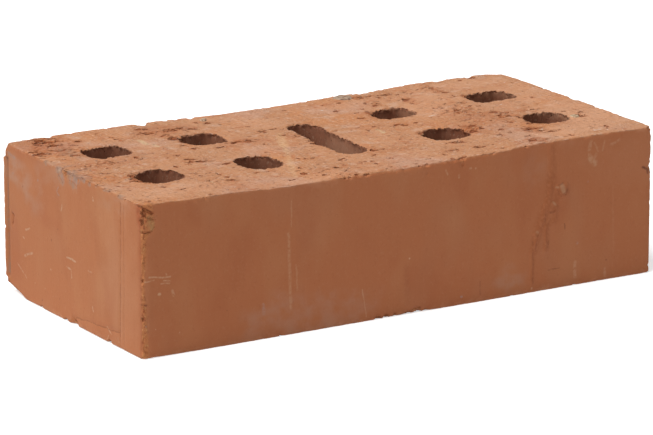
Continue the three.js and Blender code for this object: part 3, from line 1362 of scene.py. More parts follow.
    def material(self, stains: tuple[Stain, ...]) -> bpy.types.Material:
        """Builds the one material that blends the three surfaces by the skin's masks.

        Args:
            stains: The marks that handling left.

        Returns:
            The material.
        """
        clay = Shade("wire_cut_fired_clay")
        skin = {name: clay.add("ShaderNodeAttribute", out=2, attribute_name=name) for name in Skin.MASKS}
        face = self._tone(clay, self.face_base, self.face_tones)
        core = self._tone(clay, self.shaded_bore_base, self.bore_tones)
        flat = self._tone(clay, self.bed_base, self.bed_tones)
        walls = clay.add("ShaderNodeMix", {0: skin["bore"], 6: face, 7: core}, out=2, data_type="RGBA")
        clay.tone = clay.add("ShaderNodeMix", {0: skin["bed"], 6: walls, 7: flat}, out=2, data_type="RGBA")
        for name, colour, strength in self.firing_and_painted_light:
            clay.lay(colour, skin[name], strength)
        clay.lay(self.haze, skin["haze"], clay.pattern(self.haze_spots))
        for film in self.films:
            clay.lay(film.colour, skin[film.mask], clay.pattern(film.spots), film.strength)
        torn = {0: skin["rough"], 1: self.rough_lift, 2: skin[self.crevice.mask]}
        lift = clay.add("ShaderNodeMath", torn, operation="MULTIPLY_ADD")
        crevice = clay.pattern(self.crevice.spots, lift)
        skin["matt"] = clay.add("ShaderNodeMath", {0: skin["bed"], 1: skin["grit"]}, operation="MAXIMUM")
        torn_clay = clay.add("ShaderNodeMath", {0: skin["matt"], 1: skin["bore"]}, operation="MAXIMUM")
        crevice = clay.times(crevice, torn_clay)
        # The crevice and deep tones darken the tears: partly the torn clay's colour, partly painted shade in
        # crevices and pits.
        clay.lay(self.crevice.colour, crevice, self.crevice.strength)
        edges = {"Value": skin["tear"], "From Min": self.deep_shade_from, "From Max": 1.0}
        clay.lay(self.deep, crevice, clay.add("ShaderNodeMapRange", edges, **SMOOTH), self.deep_shade_strength)
        place = self._wandering(clay)
        for stain in stains:
            self._stain(clay, stain, place)
        clay.tree.links.new(clay.tone, clay.shader.inputs["Base Color"])
        self._surface(clay, skin, crevice)
        return clay.material

    def _tone(self, clay: Shade, base: str, tones: tuple[Tone, ...]) -> bpy.types.NodeSocket:
        """Lays one surface's tones over its base colour.

        Args:
            clay: The material under work.
            base: The colour below all.
            tones: What lies on it, lowest first.

        Returns:
            The surface's colour.
        """
        clay.base(base)
        for number, tone in enumerate(tones):
            form = Pattern(tone.cell, tone.low, tone.high, tone.detail, self.tone_seed * number)
            clay.lay(tone.colour, clay.pattern(form), tone.strength)
        return clay.tone

    def _wandering(self, clay: Shade) -> bpy.types.NodeSocket:
        """Moves the point about by up to half of the wander, so that a straight stroke isn't ruled.

        Args:
            clay: The material under work.

        Returns:
            The moved point.
        """
        step = {0: clay.place, "Scale": 1 / (self.wander_cell * MM)}
        scaled = clay.add("ShaderNodeVectorMath", step, operation="SCALE")
        noise = clay.add("ShaderNodeTexNoise", {"Vector": scaled, "Scale": 1.0, "Detail": 2.0}, out=1)
        swing = {0: noise, 1: (self.wander * MM,) * 3, 2: (-self.wander / 2 * MM,) * 3}
        moved = clay.add("ShaderNodeVectorMath", swing, operation="MULTIPLY_ADD")
        return clay.add("ShaderNodeVectorMath", {0: clay.place, 1: moved})

    def _stain(self, clay: Shade, stain: Stain, place: bpy.types.NodeSocket) -> None:
        """Draws a stain's strokes and lays its colour where they are.

        Args:
            clay: The material under work.
            stain: The strokes.
            place: The point, moved about a little.
        """
        facing = stain.wall.value[2]
        onto, level = Vector((1, 1, 1)), Vector()
        onto[facing] = self.stain_reach
        level[facing] = (1 - self.stain_reach) * stain.wall.point(0, 0)[facing] * MM
        flat = clay.add("ShaderNodeVectorMath", {0: place, 1: onto, 2: level}, operation="MULTIPLY_ADD")
        total: Value = 0.0
        for *ends, wide, strength in stain.strokes:
            drawn = Stroke(stain.wall, tuple(ends[:2]), tuple(ends[-2:]), wide, strength).mask(clay, flat)
            total = clay.add("ShaderNodeMath", {0: total, 1: drawn}, operation="MAXIMUM")
        clay.lay(stain.colour, total, clay.pattern(self.stain_spots), stain.strength)

    def _surface(self, clay: Shade, skin: dict[str, bpy.types.NodeSocket], crevice: bpy.types.NodeSocket) -> None:
        """Sets how rough each surface is and its finest relief, in millimetres.

        Args:
            clay: The material under work.
            skin: The skin's masks, and how much of a point is open clay.
            crevice: How much of a point is a fine tear.
        """
        edges = {"Value": skin["matt"], "To Min": self.face_roughness, "To Max": self.open_roughness}
        rough = clay.add("ShaderNodeMapRange", edges, **SMOOTH)
        clay.tree.links.new(rough, clay.shader.inputs["Roughness"])
        clay.shader.inputs["IOR"].default_value = self.ior
        clay.shader.inputs["Specular IOR Level"].default_value = self.specular
        field = {"Value": clay.pattern(self.coarse_field), "To Min": self.coarse_least}
        coarse = clay.add("ShaderNodeMapRange", field, **SMOOTH)
        parts = [clay.times(clay.pattern(self.open_grain), skin["matt"], coarse, self.open_grain_high)]
        for mask, form, high in self.reliefs:
            masks = (skin[mask],) if mask else ()
            parts.append(clay.times(clay.pattern(form), *masks, high))
        height = parts[0]
        for part in (*parts[1:], clay.times(crevice, self.crevice_sunk)):
            height = clay.add("ShaderNodeMath", {0: height, 1: part})
        bump = clay.add("ShaderNodeBump", {"Height": height, "Distance": MM, "Strength": 1.0})
        clay.tree.links.new(bump, clay.shader.inputs["Normal"])


@dataclass(frozen=True)
class Charts:
    """Lays the skin out flat: a chart for each bed, each face and each side of each core, in rows on a square."""

    gap: float = 2.5
    square: float = 512.0
    bed_zone: float = 6.0
    level: float = 0.6
    off_wall: float = 2.2

    def lay(self, mesh: bpy.types.Mesh, plan: Plan) -> None:
        """Writes the layout as the mesh's map, all at one scale.

        Args:
            mesh: The finished mesh, all triangles.
            plan: The walls in plan.
        """
        corners = np.zeros(len(mesh.loops), np.int32)
        mesh.loops.foreach_get("vertex_index", corners)
        corner = points_of(mesh)[corners] / MM
        normal = np.zeros(len(mesh.polygons) * 3, np.float32)
        mesh.polygons.foreach_get("normal", normal)
        middle = corner.reshape(-1, 3, 3).mean(axis=1)
        chart = np.repeat(self._sort(middle, normal.reshape(-1, 3), plan), 3)
        spot = np.zeros((len(corner), 2))
        boxes = []
        for name in np.unique(chart):
            here = chart == name
            across, up = self._axes(name)
            spot[here] = np.column_stack([corner[here] @ across, corner[here] @ up])
            spot[here] -= spot[here].min(axis=0)
            boxes.append((*spot[here].max(axis=0), name))
        x, y, tall = self.gap, self.gap, 0.0
        for wide, high, name in sorted(boxes, key=lambda box: (-box[1], -box[0])):
            if x + wide + self.gap > self.square:
                x, y, tall = self.gap, y + tall + self.gap, 0.0
            spot[chart == name] += (x, y)
            x, tall = x + wide + self.gap, max(tall, high)
        layer = mesh.uv_layers.new(name="OFBake")
        layer.data.foreach_set("uv", (spot / self.square).astype(np.float32).ravel())

    def _sort(self, middle: np.ndarray, normal: np.ndarray, plan: Plan) -> np.ndarray:
        """Gives each triangle its chart.

        Args:
            middle: The triangles' middles.
            normal: The triangles' normals.
            plan: The walls in plan.

        Returns:
            0 for the top, 1 for the underside, and 2 and up for the four sides of each ring of walls.
        """
        near = plan.nearest(middle)
        outward = -plan.inward[near]
        off = np.linalg.norm(middle[:, :2] - plan.feet[near], axis=1)
        by_x, by_y = 1 - np.sign(outward[:, 0]), 2 - np.sign(outward[:, 1])
        quarter = np.where(np.abs(outward[:, 0]) > np.abs(outward[:, 1]), by_x, by_y)
        chart = 2 + 4 * plan.ring[near] + quarter.astype(int)
        open_top = (normal[:, 2] > self.level) | (off > self.off_wall)
        open_foot = (normal[:, 2] < -self.level) | (off > self.off_wall)
        chart[(middle[:, 2] > HIGH - self.bed_zone) & open_top] = 0
        chart[(middle[:, 2] < self.bed_zone) & open_foot] = 1
        return chart

    def _axes(self, chart: int) -> tuple[Row, Row]:
        """Finds a chart's two directions on the brick, so that no chart is mirrored.

        Args:
            chart: The chart's number.

        Returns:
            The direction across it and the one up it.
        """
        if chart < 2:
            return ((1, 0, 0), (-1, 0, 0))[chart], (0, 1, 0)
        return ((0, 1, 0), (-1, 0, 0), (0, -1, 0), (1, 0, 0))[(chart - 2) % 4], (0, 0, 1)


@dataclass
class BrickBody:
    """The brick's clay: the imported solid's form under the surface that the die, the wires and use gave it."""

    plan: Plan
    bed: SolidBed
    reliefs: tuple[Relief, ...]
    finish: ClayFinish
    stains: tuple[Stain, ...]
    node: str = "brick"
    name: str = "brick_body"
    voxel: float = 0.5
    most_triangles: int = 192_000
    thin_scale: float = 5e4
    evenness: float = 0.5
    kept_weight: float = 0.02
    marked_weight: float = 0.5
    plain_weight: float = 0.9
    bed_zone: float = 5
    face_zone: float = 3
    one_spot: float = 1e-8
    seed: int = 7

    def build(self) -> bpy.types.Object:
        """Makes the finished mesh with its material.

        Returns:
            The brick's object.
        """
        body = self._dense_copy()
        skin = Skin(body.data, self.plan, self.bed, Grain(self.seed))
        for relief in self.reliefs:
            relief.shape(skin)
        skin.write(body.data)
        self._thin(body, skin)
        Charts().lay(body.data, self.plan)
        body.data.materials.clear()
        body.data.materials.append(self.finish.material(self.stains))
        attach(body, "root")
        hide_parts(self.node)
        log.info("%s: %d triangles", body.name, len(body.data.polygons))
        return body

    def _dense_copy(self) -> bpy.types.Object:
        """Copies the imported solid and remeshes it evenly.

        Returns:
            A new object at the origin.
        """
        body = add_mesh(self.name, merged(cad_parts[self.node].data))
        even = body.modifiers.new("even", "REMESH")
        even.mode = "VOXEL"
        even.voxel_size = self.voxel * MM
        even.use_smooth_shade = True
        self._settle(body)
        return body

    def _settle(self, body: bpy.types.Object) -> None:
        """Applies all of an object's modifiers to its mesh.

        Args:
            body: The object.
        """
        graph = bpy.context.evaluated_depsgraph_get()
        old = body.data
        body.data = bpy.data.meshes.new_from_object(body.evaluated_get(graph), depsgraph=graph)
        body.modifiers.clear()
        bpy.data.meshes.remove(old)
        body.data.name = self.name

    def _thin(self, body: bpy.types.Object, skin: Skin) -> None:
        """Takes triangles out, most where the surface is flat and least on the upper bed and the marked faces.

        Args:
            body: The dense mesh.
            skin: Its points.
        """
        near_face = skin.outer & (skin.from_wall < self.face_zone)
        marked = near_face & ((skin.inward[:, 0] > 0.7) | (skin.inward[:, 1] > 0.7))
        walls = np.where(marked, self.marked_weight, self.plain_weight)
        share = np.where(skin.depth(Bed.TOP) < self.bed_zone, self.kept_weight, walls)
        group = body.vertex_groups.new(name="thin")
        for weight in (self.kept_weight, self.marked_weight, self.plain_weight):
            group.add(np.flatnonzero(share == weight).tolist(), weight, "REPLACE")
        body.data.transform(Matrix.Scale(self.thin_scale, 4))
        body.data.calc_loop_triangles()
        thin = body.modifiers.new("thin", "DECIMATE")
        thin.ratio = min(1.0, self.most_triangles / len(body.data.loop_triangles))
        thin.use_collapse_triangulate = True
        thin.vertex_group = group.name
        thin.vertex_group_factor = self.evenness
        self._settle(body)
        body.vertex_groups.clear()
        body.data.transform(Matrix.Scale(1 / self.thin_scale, 4))
        self._hold(body.data)
        self._weld(body.data)

    def _hold(self, mesh: bpy.types.Mesh) -> None:
        """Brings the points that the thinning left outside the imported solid's box back to it."""
        held = np.clip(points_of(mesh), *np.array(CAD_BOX, np.float32))
        mesh.vertices.foreach_set("co", held.ravel())

    def _weld(self, mesh: bpy.types.Mesh) -> None:
        """Joins the few points that the thinning left on one spot.

        Args:
            mesh: The thinned mesh.
        """
        bm = merged(mesh, self.one_spot)
        bm.to_mesh(mesh)
        bm.free()
        mesh.update()


@dataclass(frozen=True)
class GravelFinish:
    """Pit gravel, rounded by water and fired with the clay: hard and dull, mottled, and dusty in its hollows."""

    colour: str
    dark: str
    dust: str = "#C79A78"
    mottling: Pattern = Pattern((1.6, 1.6, 1.6), 0.45, 0.62, 3)
    mottled: float = 0.8
    dusting: Pattern = Pattern((2.4, 2.4, 2.4), 0.55, 0.68, 3, 4)
    dusted: float = 0.5
    roughness: float = 0.9
    specular: float = 0.15

    def material(self, name: str) -> bpy.types.Material:
        """Builds the material of one stone.

        Args:
            name: The stone's name.

        Returns:
            The material.
        """
        rock = Shade(f"pit_gravel_{name}")
        rock.base(self.colour)
        rock.lay(self.dark, rock.pattern(self.mottling), self.mottled)
        rock.lay(self.dust, rock.pattern(self.dusting), self.dusted)
        rock.tree.links.new(rock.tone, rock.shader.inputs["Base Color"])
        rock.shader.inputs["Roughness"].default_value = self.roughness
        rock.shader.inputs["Specular IOR Level"].default_value = self.specular
        rock.finish(rock.shader.outputs[0])
        return rock.material


@dataclass(frozen=True)
class Stone:
    """A pebble or grain from the clay pit, set in the upper bed with its top at the cut."""

    name: str
    place: Row
    half: Row
    turn: float
    finish: GravelFinish
    seed: int
    lumpy: float = 0.22
    lump: Row = (0.9, 0.9, 0.9)
    splits: int = 5
    inset: float = 0.02

    def build(self) -> bpy.types.Object:
        """Makes the stone as one lumpy ball.

        Returns:
            The stone's object.
        """
        bm = bmesh.new()
        bmesh.ops.create_icosphere(bm, subdivisions=self.splits, radius=1)
        ball = np.array([vert.co for vert in bm.verts])
        lumps = 1 + self.lumpy * Grain(self.seed).layers(ball, self.lump, 4)
        turned = np.array(Matrix.Rotation(math.radians(self.turn), 3, "Z"))
        points = (ball * lumps[:, None] * self.half) @ turned.T + self.place
        limit = np.array((HALF_LONG, HALF_WIDE, HIGH)) - self.inset
        points = np.clip(points, -limit * (1, 1, 0), limit)
        for vert, point in zip(bm.verts, points):
            vert.co = Vector(point) * MM
        stone = add_mesh(self.name, bm)
        stone.data.shade_smooth()
        stone.data.materials.append(self.finish.material(self.name))
        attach(stone, "root")
        log.info("%s: %d triangles", stone.name, len(stone.data.polygons))
        return stone


# The brick's own marks, placed in millimetres. The class that takes a table says what its rows hold.
SOLID_BED = (
    (-1.1, 0, 0.3), (-0.76, 0, 0.8), (-0.56, 0, 1.5), (-0.4, 0.3, 1.9), (-0.28, 0.9, 1.6), (-0.16, 1.3, 1.4),
    (0.06, 1.25, 1.25), (0.22, 1.25, 1.25), (0.4, 0.65, 0.9), (0.55, 0.55, 0.1), (0.8, 0.25, 0.1), (1.1, 0.9, 0.5),
)
BACK_SAG = (
    (-125, 0), (-65, 0), (-50, 0.3), (-20, 1.3), (15, 1.1), (38, 0.6), (60, 0.6), (80, 0.15), (108, 0.25),
    (125, 0.1),
)
FRONT_SAG = (
    (-125, 0.4), (-100, 0.8), (-88, 0.6), (-72, 1.4), (-55, 1.9), (-40, 1.8), (-27, 1.35), (-10, 1.5), (10, 1.5),
    (22, 1.3), (47, 0.9), (58, 0.5), (70, 0), (85, 0.15), (100, 0), (115, 0.15), (125, 0.1),
)
DISHES = ((43, 20, 14, 0.5), (95, -25, 12, 0.25), (127, 62, 10, 0.8))
FOOT_LIFT = (
    (-125, 0.3), (-110, 0.15), (-97, 0), (-57, 0), (-3, 0), (11, 0.2), (25, 0), (60, 0), (74, 0), (96, 0.1),
    (118, 0.1), (125, 0.2),
)
BOWS = (
    (1, 1, (
        (-125, 0), (-118, 0.15), (-90, 0.15), (0, 0.1), (55, 0.2), (66, 0.35), (84, 0.35), (110, 0.1), (125, 0),
    )),
    (0, 1, ((-60, 0.1), (-52, 0.05), (-20, 0), (20, 0.1), (45, 0.35), (57, 0.6), (58.2, 0), (60, 0))),
    (1, -1, ((-125, 0), (125, 0))),
    (0, -1, ((-60, 0), (60, 0))),
)
TOP_PITS = (
    (-112, 57.8, 2.02, 1.36, 0.9), (-111, 54.5, 2.69, 1.28, 1.35), (-112.5, 52.5, 2.35, 1.02, 1.24),
    (-109.5, 50, 2.69, 1.02, 1.24), (-107.8, 49, 1.68, 1.36, 1.12), (-114.8, 49, 1.51, 1.36, 0.9),
    (-104, 55.5, 2.02, 1.36, 0.9), (-108.5, 44, 3.36, 1.02, 1.46), (-97, 45.3, 1.51, 1.7, 1.57),
    (-101, 40, 1.34, 1.36, 0.79), (-102.5, 49, 1.68, 1.19, 0.79), (-81.3, 43.5, 1.18, 1.1, 1.12),
    (-81.2, 40.3, 1.18, 1.02, 1.12), (-80.8, 37.3, 1.18, 1.02, 1.01), (-122, 38.8, 3.36, 0.76, 1.24),
    (-120.3, 35, 1.68, 1.36, 1.12), (-123.3, 33.8, 1.34, 1.19, 1.01), (-121.5, 31.2, 3.02, 0.68, 1.01),
    (-109.8, 35.5, 1.68, 1.87, 0.56), (-109.5, 25, 3.19, 0.94, 1.01), (-106.5, 24.5, 2.18, 0.76, 0.9),
    (-116, 22, 2.35, 1.02, 0.79), (-62.5, 49, 1.51, 1.19, 1.01), (-65.5, 50, 1.68, 1.1, 0.9),
    (-64.5, 40.8, 3.36, 0.85, 1.35), (-66.3, 44.6, 1.34, 1.62, 0.9), (-62.6, 42.2, 1.34, 0.85, 1.01),
    (-53, 42, 3.19, 1.19, 1.24), (-49, 44, 3.02, 0.76, 1.01), (-54.5, 45, 2.02, 0.94, 0.9),
    (-44, 41, 2.02, 0.85, 1.01), (-42.5, 39, 1.34, 1.02, 1.01), (-60, 37.5, 1.34, 1.02, 1.01),
    (-62.3, 35, 1.34, 1.19, 1.01), (-59.6, 29.5, 2.35, 2.21, 1.8), (-60.3, 11, 1.51, 1.1, 1.01),
    (-70.5, 16.5, 1.01, 0.85, 0.79), (-61, 18, 2.02, 0.94, 0.79), (-48, 8, 3.02, 0.94, 1.24),
    (-40.5, 12, 1.51, 1.1, 1.35), (-72.7, 4.5, 1.18, 1.28, 1.24), (-88.7, 9, 1.18, 1.36, 0.9),
    (-88.5, 5.8, 1.34, 0.94, 0.79), (-101.2, 7, 2.69, 0.94, 0.9), (-113, 7, 1.85, 1.1, 0.9),
    (-113.5, 10.5, 1.34, 1.02, 0.79), (-118, 9, 1.51, 0.76, 0.9), (-123, 9.2, 2.18, 0.85, 0.9),
    (-114, 14.2, 1.18, 0.85, 0.79), (-119.7, -5.5, 2.52, 1.02, 1.24), (-118.8, -8, 1.51, 0.85, 0.9),
    (-113.7, -5.5, 1.18, 1.02, 0.9), (-105.5, -16, 1.51, 1.53, 1.57), (-107.2, -24, 2.02, 1.36, 1.57),
    (-106, -26.2, 1.68, 1.02, 1.35), (-107.5, -20.8, 1.51, 1.36, 1.12), (-117.7, -28, 1.18, 1.19, 0.9),
    (-122.7, -30.5, 1.18, 1.02, 0.9), (-101.7, -37.3, 1.18, 1.02, 1.35), (-96.2, -44.8, 3.19, 0.76, 1.01),
    (-113.7, -56.3, 1.34, 0.68, 0.79), (-120.5, -51, 1.68, 0.85, 0.68), (-71.5, -3.8, 2.52, 0.94, 1.35),
    (-71.8, -8, 2.02, 0.85, 1.12), (-67.5, -9, 2.86, 1.1, 1.46), (-76, -11, 1.51, 0.85, 1.24),
    (-81.5, -12, 1.18, 1.19, 1.24), (-60, -16.5, 2.52, 0.94, 1.01), (-60.3, -12.5, 1.51, 0.94, 0.68),
    (-79.5, -29.5, 1.01, 0.94, 1.01), (-71.5, -30, 1.18, 1.44, 0.9), (-71, -36, 1.01, 1.1, 0.79),
    (-72.2, -41, 2.35, 1.02, 1.35), (-56.7, -34.5, 1.51, 0.85, 1.24), (-51.7, -35.5, 1.68, 0.94, 1.01),
    (-48, -41, 1.51, 0.68, 0.68), (-40.5, -45.5, 1.68, 1.36, 1.12), (-49, -51.5, 1.68, 0.76, 1.01),
    (-91.2, -58.2, 1.51, 0.76, 0.9), (-36.5, 50, 1.68, 1.19, 1.01), (-32.5, 47.5, 1.51, 1.19, 1.01),
    (-29, 43, 1.51, 1.1, 0.68), (-23.5, 34, 3.02, 0.85, 1.01), (-19.2, 24, 1.51, 1.62, 1.35),
    (-23, 17, 1.34, 0.85, 1.01), (-13, 25, 2.02, 0.85, 0.9), (-15.3, 13, 1.68, 1.7, 1.01),
    (-38.5, 12.5, 3.36, 0.85, 1.57), (-33.5, 12, 1.51, 0.85, 1.12), (-30, 3, 1.34, 1.36, 1.01),
    (-29, 14, 1.34, 0.68, 0.79), (26, 49, 2.02, 0.68, 1.24), (25.5, 37, 1.34, 1.7, 1.12),
    (37.5, 34, 1.34, 0.76, 0.68), (8, 51.5, 1.18, 1.28, 0.68), (28.5, 21, 1.51, 1.1, 1.24),
    (7.5, 8, 1.85, 0.85, 0.79), (36, 1.4, 3.19, 1.02, 1.57), (18.5, 8, 1.34, 0.68, 0.68),
    (20, 1.5, 1.34, 0.85, 0.79), (26.5, 2.5, 1.34, 1.02, 0.68), (44, 1, 1.51, 0.85, 0.9), (37.4, -0.2, 1.7, 1.5, 2),
    (35.2, 2.4, 1.6, 1, 1.1), (-9.4, -1.2, 1.3, 1.9, 1.9), (-9.9, -5.4, 1.9, 2.6, 2.4),
    (-9.3, -10.2, 1.3, 2.2, 1.7), (-30.3, -20, 1.01, 1.62, 0.9), (-30.5, -25, 1.18, 1.1, 0.9),
    (-26.5, -26.5, 2.69, 0.6, 1.01), (-37, -37.5, 1.34, 1.28, 1.46), (-40.5, -46.5, 1.51, 1.19, 1.01),
    (-34, -52, 1.34, 0.76, 0.9), (-16.5, -35.5, 1.34, 0.94, 0.9), (-23.5, -45.5, 2.35, 1.19, 1.24),
    (-28.5, -46, 1.85, 0.76, 0.9), (-26.5, -42, 1.34, 0.68, 0.79), (0.5, -35, 1.51, 0.85, 0.9),
    (3.5, -43.5, 1.18, 1.02, 1.01), (-6, -44.5, 1.01, 1.02, 0.9), (-6.5, -48.3, 1.01, 1.28, 0.9),
    (-4, -55.5, 1.18, 0.94, 0.79), (4.6, -28, 1.85, 1.44, 1.24), (23.5, -38.5, 2.18, 0.85, 0.9),
    (26, -50.5, 1.34, 1.1, 1.01), (34.5, -47, 1.51, 0.76, 0.79), (31, -47, 1.18, 0.76, 0.68),
    (30.5, -58.5, 1.18, 0.76, 1.01), (38.2, -36, 2.69, 0.94, 1.35), (40.2, -38.5, 1.85, 0.85, 1.46),
    (42, -37.8, 1.85, 0.68, 1.35), (43.5, -48, 1.34, 1.44, 1.46), (27.5, -12.5, 1.01, 1.36, 0.68),
    (46.5, 52, 2.86, 0.85, 1.35), (51.5, 52, 1.51, 1.28, 1.01), (58.3, 50, 2.35, 1.19, 1.57),
    (69.2, 50.2, 1.51, 0.85, 0.9), (54.2, 46.5, 1.34, 1.36, 0.9), (44.8, 40.5, 2.52, 0.94, 1.24),
    (47, 38.5, 1.85, 0.85, 1.01), (44.5, 36, 1.18, 1.44, 0.79), (62.2, 39, 2.02, 1.62, 1.35),
    (61, 32.5, 1.18, 1.28, 0.9), (81.3, 52, 1.51, 1.19, 0.9), (82.8, 48, 2.52, 1.19, 0.79),
    (81.2, 41.5, 1.85, 0.94, 1.24), (82.5, 38.5, 2.02, 0.85, 0.9), (82.2, 30, 1.51, 0.76, 1.24),
    (82.6, 33, 1.01, 1.1, 0.79), (107.5, 56.8, 2.02, 1.53, 1.8), (100.8, 54, 1.51, 1.19, 0.9),
    (84.3, 57, 1.34, 1.1, 0.79), (79.7, 18.5, 1.68, 1.36, 0.9), (64.3, 17.5, 1.18, 1.62, 0.9),
    (68.5, 16.5, 1.01, 1.02, 0.79), (77, 27, 1.18, 0.85, 0.56), (75, 30, 1.18, 0.85, 0.68),
    (82, 10, 1.51, 1.1, 0.79), (78.2, 11.5, 1.34, 0.76, 0.68), (70, 9, 1.85, 1.36, 1.01),
    (72, 5.5, 2.02, 1.19, 0.9), (67.7, 4, 1.18, 1.44, 0.9), (74, 1.5, 1.18, 1.19, 0.79),
    (110.5, 11.5, 0.84, 1.36, 1.01), (118, 32.5, 1.34, 1.19, 0.68), (118.5, 38.5, 1.51, 1.19, 0.68),
    (81.3, -4.5, 1.34, 2.21, 1.35), (73.8, -6, 1.51, 1.02, 1.01), (79.5, -9.5, 1.68, 0.85, 1.01),
    (84, -12.5, 2.69, 0.94, 1.35), (85.3, -7, 1.34, 1.19, 0.9), (101.3, -8.2, 2.02, 0.68, 1.01),
    (96.3, -6.5, 1.18, 1.53, 0.68), (113.8, -7.5, 1.68, 0.76, 0.79), (114.8, -16.5, 1.18, 1.1, 0.79),
    (60.3, -17.5, 2.18, 1.53, 1.35), (62, -23.5, 1.51, 1.53, 1.35), (56.5, -25.8, 2.18, 1.53, 1.46),
    (67, -22.8, 1.34, 1.1, 1.01), (67.2, -30.7, 1.51, 1.36, 1.24), (76.2, -20, 1.85, 0.94, 1.01),
    (78.2, -22, 1.34, 0.94, 0.9), (83, -28, 1.18, 1.19, 1.01), (62, -36.5, 1.34, 1.28, 0.9),
    (62.3, -39.3, 1.18, 0.85, 1.35), (67.2, -37.2, 1.01, 0.94, 0.9), (78.5, -36.5, 3.36, 1.28, 0.79),
    (80, -41, 1.51, 1.02, 0.9), (82.5, -44.5, 3.7, 1.1, 1.01), (70.7, -46.5, 2.02, 0.76, 0.9),
    (68.2, -54.5, 1.85, 2.21, 1.01), (73.5, -55, 2.18, 0.85, 1.24), (87, -54.5, 1.18, 1.36, 0.68),
    (46.5, -49, 1.18, 0.76, 1.01), (50, -48.5, 2.18, 1.36, 0.68), (51.5, -55.5, 1.85, 0.94, 0.9),
    (108.8, -48.8, 1.68, 1.28, 1.12), (110.6, -27.3, 1.51, 2.21, 1.69),
)
RIM_CRUMBS = (
    (-104, -14.5, 5.5, 1.2), (-105.3, -20.5, 5.5, 2), (-104.5, -27, 5, 1.3), (-57, 30.3, 5, 2.6),
    (-58.6, 24, 4, 0.9), (-9, -7, 4, 0.9), (37, 28, 4, 1.3), (36.4, -14.6, 4, 1.2), (87.2, 28.4, 4, 1.2),
    (86.8, -15.6, 3, 0.6),
)
TOP_PATCHES = (
    (-110, 52, 8, 8, 0.9), (-121.5, 35, 4, 6, 0.7), (-108, 45, 6, 4, 0.6), (-64, 42, 5, 5, 0.7),
    (-50, 43, 10, 4, 0.8), (-60, 31, 3, 6, 0.8), (-106, -21, 3, 8, 0.9), (-70, -7, 7, 4, 0.7), (-35, 12, 8, 4, 0.7),
    (-24, -45, 6, 3, 0.6), (40, -37, 5, 3, 0.9), (58, -21, 7, 7, 0.9), (81, 45, 4, 12, 0.7), (46, 40, 5, 5, 0.6),
    (47, 52, 6, 4, 0.6), (70, 5, 6, 7, 0.7), (81, -8, 6, 7, 0.7), (79, -39, 7, 8, 0.8), (70, -54, 6, 6, 0.8),
    (-28, -57, 7, 3, 0.5), (-13, 10, 5, 9, 0.4), (-105, 7, 14, 6, 0.45), (22, 5, 9, 5, 0.3), (63, 35, 4, 8, 0.5),
    (30, -47, 6, 4, 0.4), (-112, 38, 16, 20, 0.4), (-118, -8, 9, 24, 0.3), (-58, 44, 20, 10, 0.35),
    (35.6, 1.8, 4, 3, 0.7), (12, -32, 12, 6, 0.35), (-82, -46, 22, 7, 0.3), (26, -20, 8, 9, 0.25),
    (70, -2, 16, 30, 0.35), (-20, -48, 30, 9, 0.3), (66, 46, 26, 9, 0.3), (-78, -30, 12, 12, 0.25),
)
FOOT_PATCHES = (
    (-90, 20, 18, 14, 0.6), (-20, -38, 22, 10, 0.5), (60, 44, 26, 8, 0.5), (98, -6, 12, 20, 0.6),
    (20, 42, 12, 8, 0.4),
)
HEADER_RELIEF = (
    (-43.1, 62, -41.2, 1.5, 0.8, 0.3), (-45.6, 62, -44.7, 2, 0.6, 0.12), (53, 35, 53.4, 31, 0.7, 0.4),
    (-3.9, 4, -40.6, 6.6, 0.6, 0.2), (54.3, 35.6, 52, 34.6, 0.5, 0.3), (52, 34.6, 53.6, 30.7, 0.5, 0.3),
    (10.5, 56.5, 12.2, 54.1, 0.7, -0.2), (12.2, 54.1, 9.9, 53.1, 0.7, -0.2),
)
HEADER_FLAKES = (
    (11, 63.8, 8, 60.8, 2.9, 0.55), (1.5, 64.2, -3.5, 61.8, 3.2, 0.6), (-3.5, 63, -7, 63.8, 2.2, 0.5),
    (-8.8, 64.6, -12, 64.3, 1.3, 0.35), (-15.1, 64.2, -17, 64.2, 1.2, 0.3), (-22, 64.6, -24, 64.5, 0.8, 0.25),
    (-28.3, 64.7, -33, 64.7, 0.7, 0.25), (-39.9, 64.8, -45, 64.7, 0.7, 0.2), (21.5, 64.2, 23.1, 64.6, 1.2, 0.3),
)
BACK_RELIEF = (
    (-20, 62, -18, 4, 0.7, 0.2), (-92, 44, -78, 46, 1.4, -0.2), (70, 38, 72, 36, 2.4, 0.5),
    (48, 58, 49, 30, 1.8, -0.25), (49, 30, 46, 14, 1.5, -0.3), (-101, 18, -99, 18, 1.8, 0.4),
    (100, 62, 101, 3, 0.9, 0.15),
)
FAR_RELIEF = (
    (20, 62, 21, 2, 0.8, 0.2), (-34, 40, -22, 43, 1.3, 0.25), (38, 52, 44, 50, 2.6, 0.4),
    (-45, 20, -43, 16, 1.8, -0.3),
)
